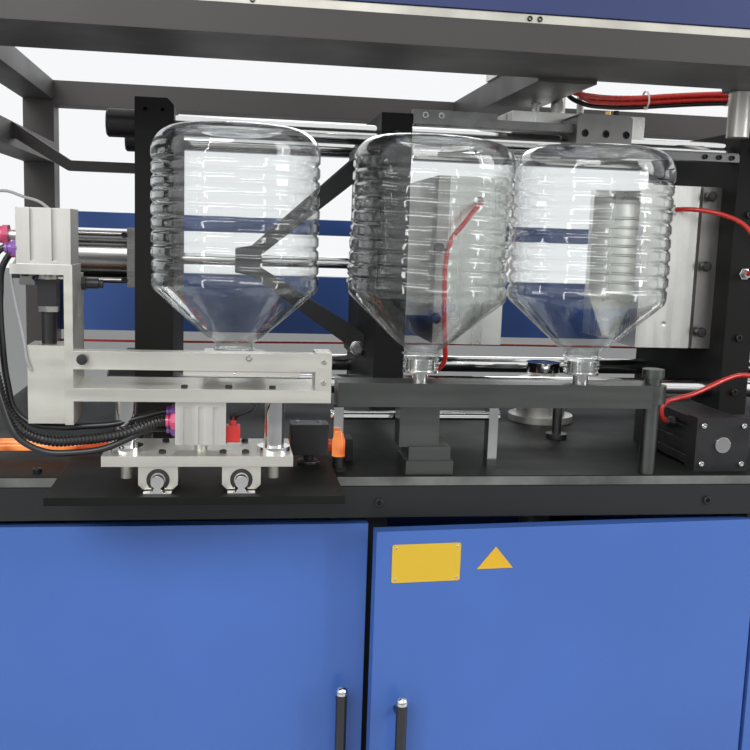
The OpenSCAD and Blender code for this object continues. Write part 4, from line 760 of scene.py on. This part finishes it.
for name, x, levels, body in (("mould_knobs", 236, (1185, 1300, 1420), "right_clamp"),
                              ("left_mould_knobs", -240, (1200, 1318), "left_clamp")):
    piece(name, [knob((x, -50, z), FRONT, 9, 22) for z in levels], body, BLACK_PLASTIC)
piece("bar_knob", [knob((-757, GRIPPER_FACE, 1176), FRONT, 6.5, 12)], "lift", BLACK_PLASTIC)
piece("plunger_nuts", [ring([(0, 9), (high, 9), (high, outer), (0, outer)], (-801.5, -436, z), UP, 6)
                       for high, outer, z in ((7, 13, 1229), (6, 12, 1268))], "plunger_slide",
      SCREW_STEEL)
piece("side_plate_fitting", [push_fitting((-768.5, -395, 1262), RIGHT, 3, 26)], "lift", BLACK_PLASTIC)


def handle_cap(x, y):
    """Bright turned cap on the top of a door's pull bar."""
    return turned([(-4, 8.3), (1.5, 8.3), (5, 6.6), (7, 3.2), (7.5, 0)], (x, y, HANDLE_TOP), UP, 24)


piece("left_handle_cap", [handle_cap(-421, -378)], "left_door", CHROME)
piece("middle_handle_cap", [handle_cap(-341.1, -415.6)], "middle_door", CHROME)


# Sensor box on its foot, connector of the lift cylinder, feed pipe behind the top beam

piece("sensor_box", [prism(rounded(54, 36, 3), 0, 44, ((SENSOR_X, SENSOR_Y, 1025), RIGHT, BACK)),
                     turned([(0, 16), (4.5, 16), (6, 14), (6, 7), (17, 7)],
                            (SENSOR_X, SENSOR_Y, 1010), UP, 32)],
      "machine", BLACK_PLASTIC, bevel=0.8)
screws("sensor_box_screws", [((x, SENSOR_Y, 1069), UP, 3.6, 3) for x in (-487, -456)], "machine", SCREW_STEEL)
piece("lift_connector", [slab((-587.5, -449, 1069), (-569, -431, 1090)),
                         turned([(-1, 5), (7, 4.4), (8, 3), (8, 0)], (-578, -440, 1090), UP, 20)], "lift",
      RED_PLASTIC, bevel=0.8)
piece("lift_connector_cables", [
    tube([(-576, -440, 1096), (-573, -447, 1102), (-563, -457, 1108), (-551, -461, 1115), (-546, -461, 1125)],
         1.8, 10, 2.5),
    tube([(-580, -440, 1096), (-580, -449, 1103), (-570, -461, 1109), (-557, -465, 1116), (-553, -465, 1125)],
         1.8, 10, 2.5)], "lift", BLACK_HOSE)
piece("feed_pipe", [turned([(0, 15.5), (0, 18), (92, 18), (92, 15.5), (30, 15.5), (30, 0)],
                           (235, -137, 1512), UP, 40)], "machine", CYLINDER_ALUMINIUM)
piece("feed_pipe_clamp", [slab((212, -155.5, 1584), (258, -116, 1600))], "machine",
      BLACK_OXIDE, bevel=1.0)
screws("feed_pipe_clamp_screws", [((x, -116, 1592), BACK, 3.6, 3.5) for x in (216.5, 253.5)], "machine")
piece("left_hose_tie", tie((-230.6, -95, 1316), (0.25, 0, -1), 4.4), "left_clamp",
      BLACK_PLASTIC)

piece("cover_seat_strip", [slab((-999, COVER_FACE, 1622.8), (999, -333.8, 1635.4))], "machine",
      CREAM_TRIM, bevel=0.8)
screws("cover_seat_screws", [((x, COVER_FACE, 1629), FRONT, 3.6, 2.5)
                             for x in (-900, -560, -190, -176, 430, 900)], "machine")


# Heater lamps: glowing tubes in dark ceramic holders

piece("lamp_tubes", [turned([(0, 4.8), (1.5, 6), (558.5, 6), (560, 4.8)], (-960, y, 1020), RIGHT, 24)
                     for y in (-250, -224)], "machine", LAMP_GLOW, ["heater_lamps"])
piece("lamp_holders", [prism([(-24, 0), (24, 0), (24, 30), (20, 33), (-20, 33), (-24, 30)], 0, 12,
                             ((x, -237, BED_TOP), BACK, UP)) for x in (-962, -706, -412)],
      "machine", BLACK_PLASTIC, bevel=0.8)
piece("lamp_sleeve", [turned([(0, 8), (1.5, 9.2), (26, 9.2), (30, 7.6), (33, 7.4), (37, 6.2), (38.5, 0)],
                             (AMBER_X, AMBER_Y, 1018), UP, 32)], "machine", LAMP_AMBER)
piece("lamp_socket", [turned([(0, 12), (3, 12), (4, 8), (18, 8), (19, 10), (21, 10)],
                             (AMBER_X, AMBER_Y, BED_TOP), UP, 32)], "machine", BLACK_PLASTIC)


def open_ring(inner, outer, gap):
    """Flat C: an outer arc and the inner one back, open for the gap of degrees at its foot."""
    a = np.radians(np.linspace(-90 + gap / 2, 270 - gap / 2, 49))
    return np.concatenate([np.stack([outer * np.cos(a), outer * np.sin(a)], 1),
                           np.stack([inner * np.cos(a), inner * np.sin(a)], 1)[::-1]])


piece("bearing_seals", [prism(open_ring(9.0, 14.0, 84), -0.5, 0.9, ((x, -468, 1026), RIGHT, UP))
                        for x in (-669, -567)], "carriage", BLACK_PLASTIC)


# Door plates: the middle door stands ajar, and its face lies in front of the hinge line

DOOR_AJAR = math.radians(4.0)
HINGE_X, HINGE_Y, HINGE_TO_FACE = 195, -341, 11
DOOR_ALONG = (math.cos(DOOR_AJAR), math.sin(DOOR_AJAR), 0.0)
DOOR_FRONT = (math.sin(DOOR_AJAR), -math.cos(DOOR_AJAR), 0)


def door_place(x, z):
    """Place on the middle door's face for a point whose X is given: origin, along and up."""
    y = HINGE_Y - (HINGE_X - x) * math.tan(DOOR_AJAR) - HINGE_TO_FACE / math.cos(DOOR_AJAR)
    return (x, y, z), DOOR_ALONG, UP


piece("door_name_plate", [prism(rounded(99, 55, 3), -0.2, 1.2, door_place(-309, 885.5))], "middle_door",
      YELLOW_PLATE, bevel=0.3)
piece("door_plate_rivets", [turned([(-0.4, 2.6), (0.9, 2.4), (1.6, 1.3), (1.8, 0)], door_place(x, z)[0],
                                   DOOR_FRONT, 16)
                            for x in (-353, -265) for z in (863, 908)], "middle_door",
      SCREW_STEEL)
piece("door_triangle", [prism([(-27, -16), (27, -16), (0, 16)], -0.2, 1.2, door_place(-208, 889))],
      "middle_door", AMBER_SIGN, bevel=0.3)


# Camera, floor and light

CAMERA_PLACE = (-585.0, -1661.0, 1332.0)
CAMERA_YAW, CAMERA_PITCH, CAMERA_ROLL = (math.radians(a) for a in (8.7, 8.1, 1.93))
FOCAL_PIXELS, PHOTO_PIXELS, SENSOR = 970.0, 750.0, 36.0


def photo_camera():
    """Camera whose axes are the photograph's: yaw and pitch turn the view, roll tips its frame."""
    ahead = Vector((math.sin(CAMERA_YAW) * math.cos(CAMERA_PITCH),
                    math.cos(CAMERA_YAW) * math.cos(CAMERA_PITCH),
                    -math.sin(CAMERA_PITCH)))
    level = Vector((math.cos(CAMERA_YAW), -math.sin(CAMERA_YAW), 0.0))
    up = level.cross(ahead)
    right = level * math.cos(CAMERA_ROLL) + up * math.sin(CAMERA_ROLL)
    top = up * math.cos(CAMERA_ROLL) - level * math.sin(CAMERA_ROLL)
    data = bpy.data.cameras.new("photo camera")
    data.sensor_width = SENSOR
    data.lens = FOCAL_PIXELS / PHOTO_PIXELS * SENSOR
    data.clip_end = 100.0
    camera = bpy.data.objects.new("photo camera", data)
    axes = Matrix((right, top, -ahead)).transposed().to_4x4()
    camera.matrix_world = Matrix.Translation(Vector(CAMERA_PLACE) * MM) @ axes
    bpy.context.scene.collection.objects.link(camera)
    bpy.context.scene.camera = camera


def soft_lamp(name, place, aim, size, power):
    """Rectangular area lamp, in metres and watts, turned towards the point that it aims at."""
    data = bpy.data.lights.new(name, "AREA")
    data.shape = "RECTANGLE"
    data.size, data.size_y = size
    data.energy = power
    lamp = bpy.data.objects.new(name, data)
    turn = (Vector(aim) - Vector(place)).to_track_quat("-Z", "Y")
    lamp.matrix_world = Matrix.Translation(Vector(place)) @ turn.to_matrix().to_4x4()
    bpy.context.scene.collection.objects.link(lamp)


# Strength of the world as light on the object, and as what the eye, mirrors and clear things see
WORLD_LIGHT, WORLD_SEEN = 0.28, 1.0


def studio():
    """Pale floor, white surroundings for the eye, mirrors and clear things, and soft lamps."""
    bpy.ops.mesh.primitive_plane_add(size=60.0, location=(0, 0, -0.0005))
    floor = bpy.context.object
    floor.name = "studio_floor"
    floor.data.materials.append(Finish("studio floor", (0.80, 0.80, 0.80), rough=0.9).done())
    world = bpy.data.worlds.new("studio")
    bpy.context.scene.world = world
    world.use_nodes = True
    tree = world.node_tree
    back = tree.nodes["Background"]
    back.inputs["Color"].default_value = (0.93, 0.94, 0.95, 1)
    path = tree.nodes.new("ShaderNodeLightPath")
    seen = path.outputs["Is Camera Ray"]
    for ray in ("Is Transmission Ray", "Is Glossy Ray"):
        either = tree.nodes.new("ShaderNodeMath")
        either.operation = "MAXIMUM"
        tree.links.new(seen, either.inputs[0])
        tree.links.new(path.outputs[ray], either.inputs[1])
        seen = either.outputs[0]
    strength = tree.nodes.new("ShaderNodeMapRange")
    strength.inputs["To Min"].default_value = WORLD_LIGHT
    strength.inputs["To Max"].default_value = WORLD_SEEN
    tree.links.new(seen, strength.inputs["Value"])
    tree.links.new(strength.outputs["Result"], back.inputs["Strength"])
    soft_lamp("front lamp", (-1.9, -3.4, 3.4), (-0.3, 0, 1.2), (2.4, 1.6), 88)
    soft_lamp("right lamp", (3.2, -2.2, 2.6), (0, 0, 1.0), (1.6, 2.0), 50)
    soft_lamp("left strip", (-2.5, -2.5, 1.7), (-0.35, -0.35, 1.3), (0.14, 1.9), 9)
    soft_lamp("right strip", (2.7, -2.3, 1.7), (-0.35, -0.35, 1.3), (0.14, 1.9), 9)
    soft_lamp("rear lamp", (0.5, 3.6, 3.2), (0, 0, 1.2), (2.4, 1.4), 35)


photo_camera()
studio()
bpy.context.scene.view_settings.view_transform = "Standard"
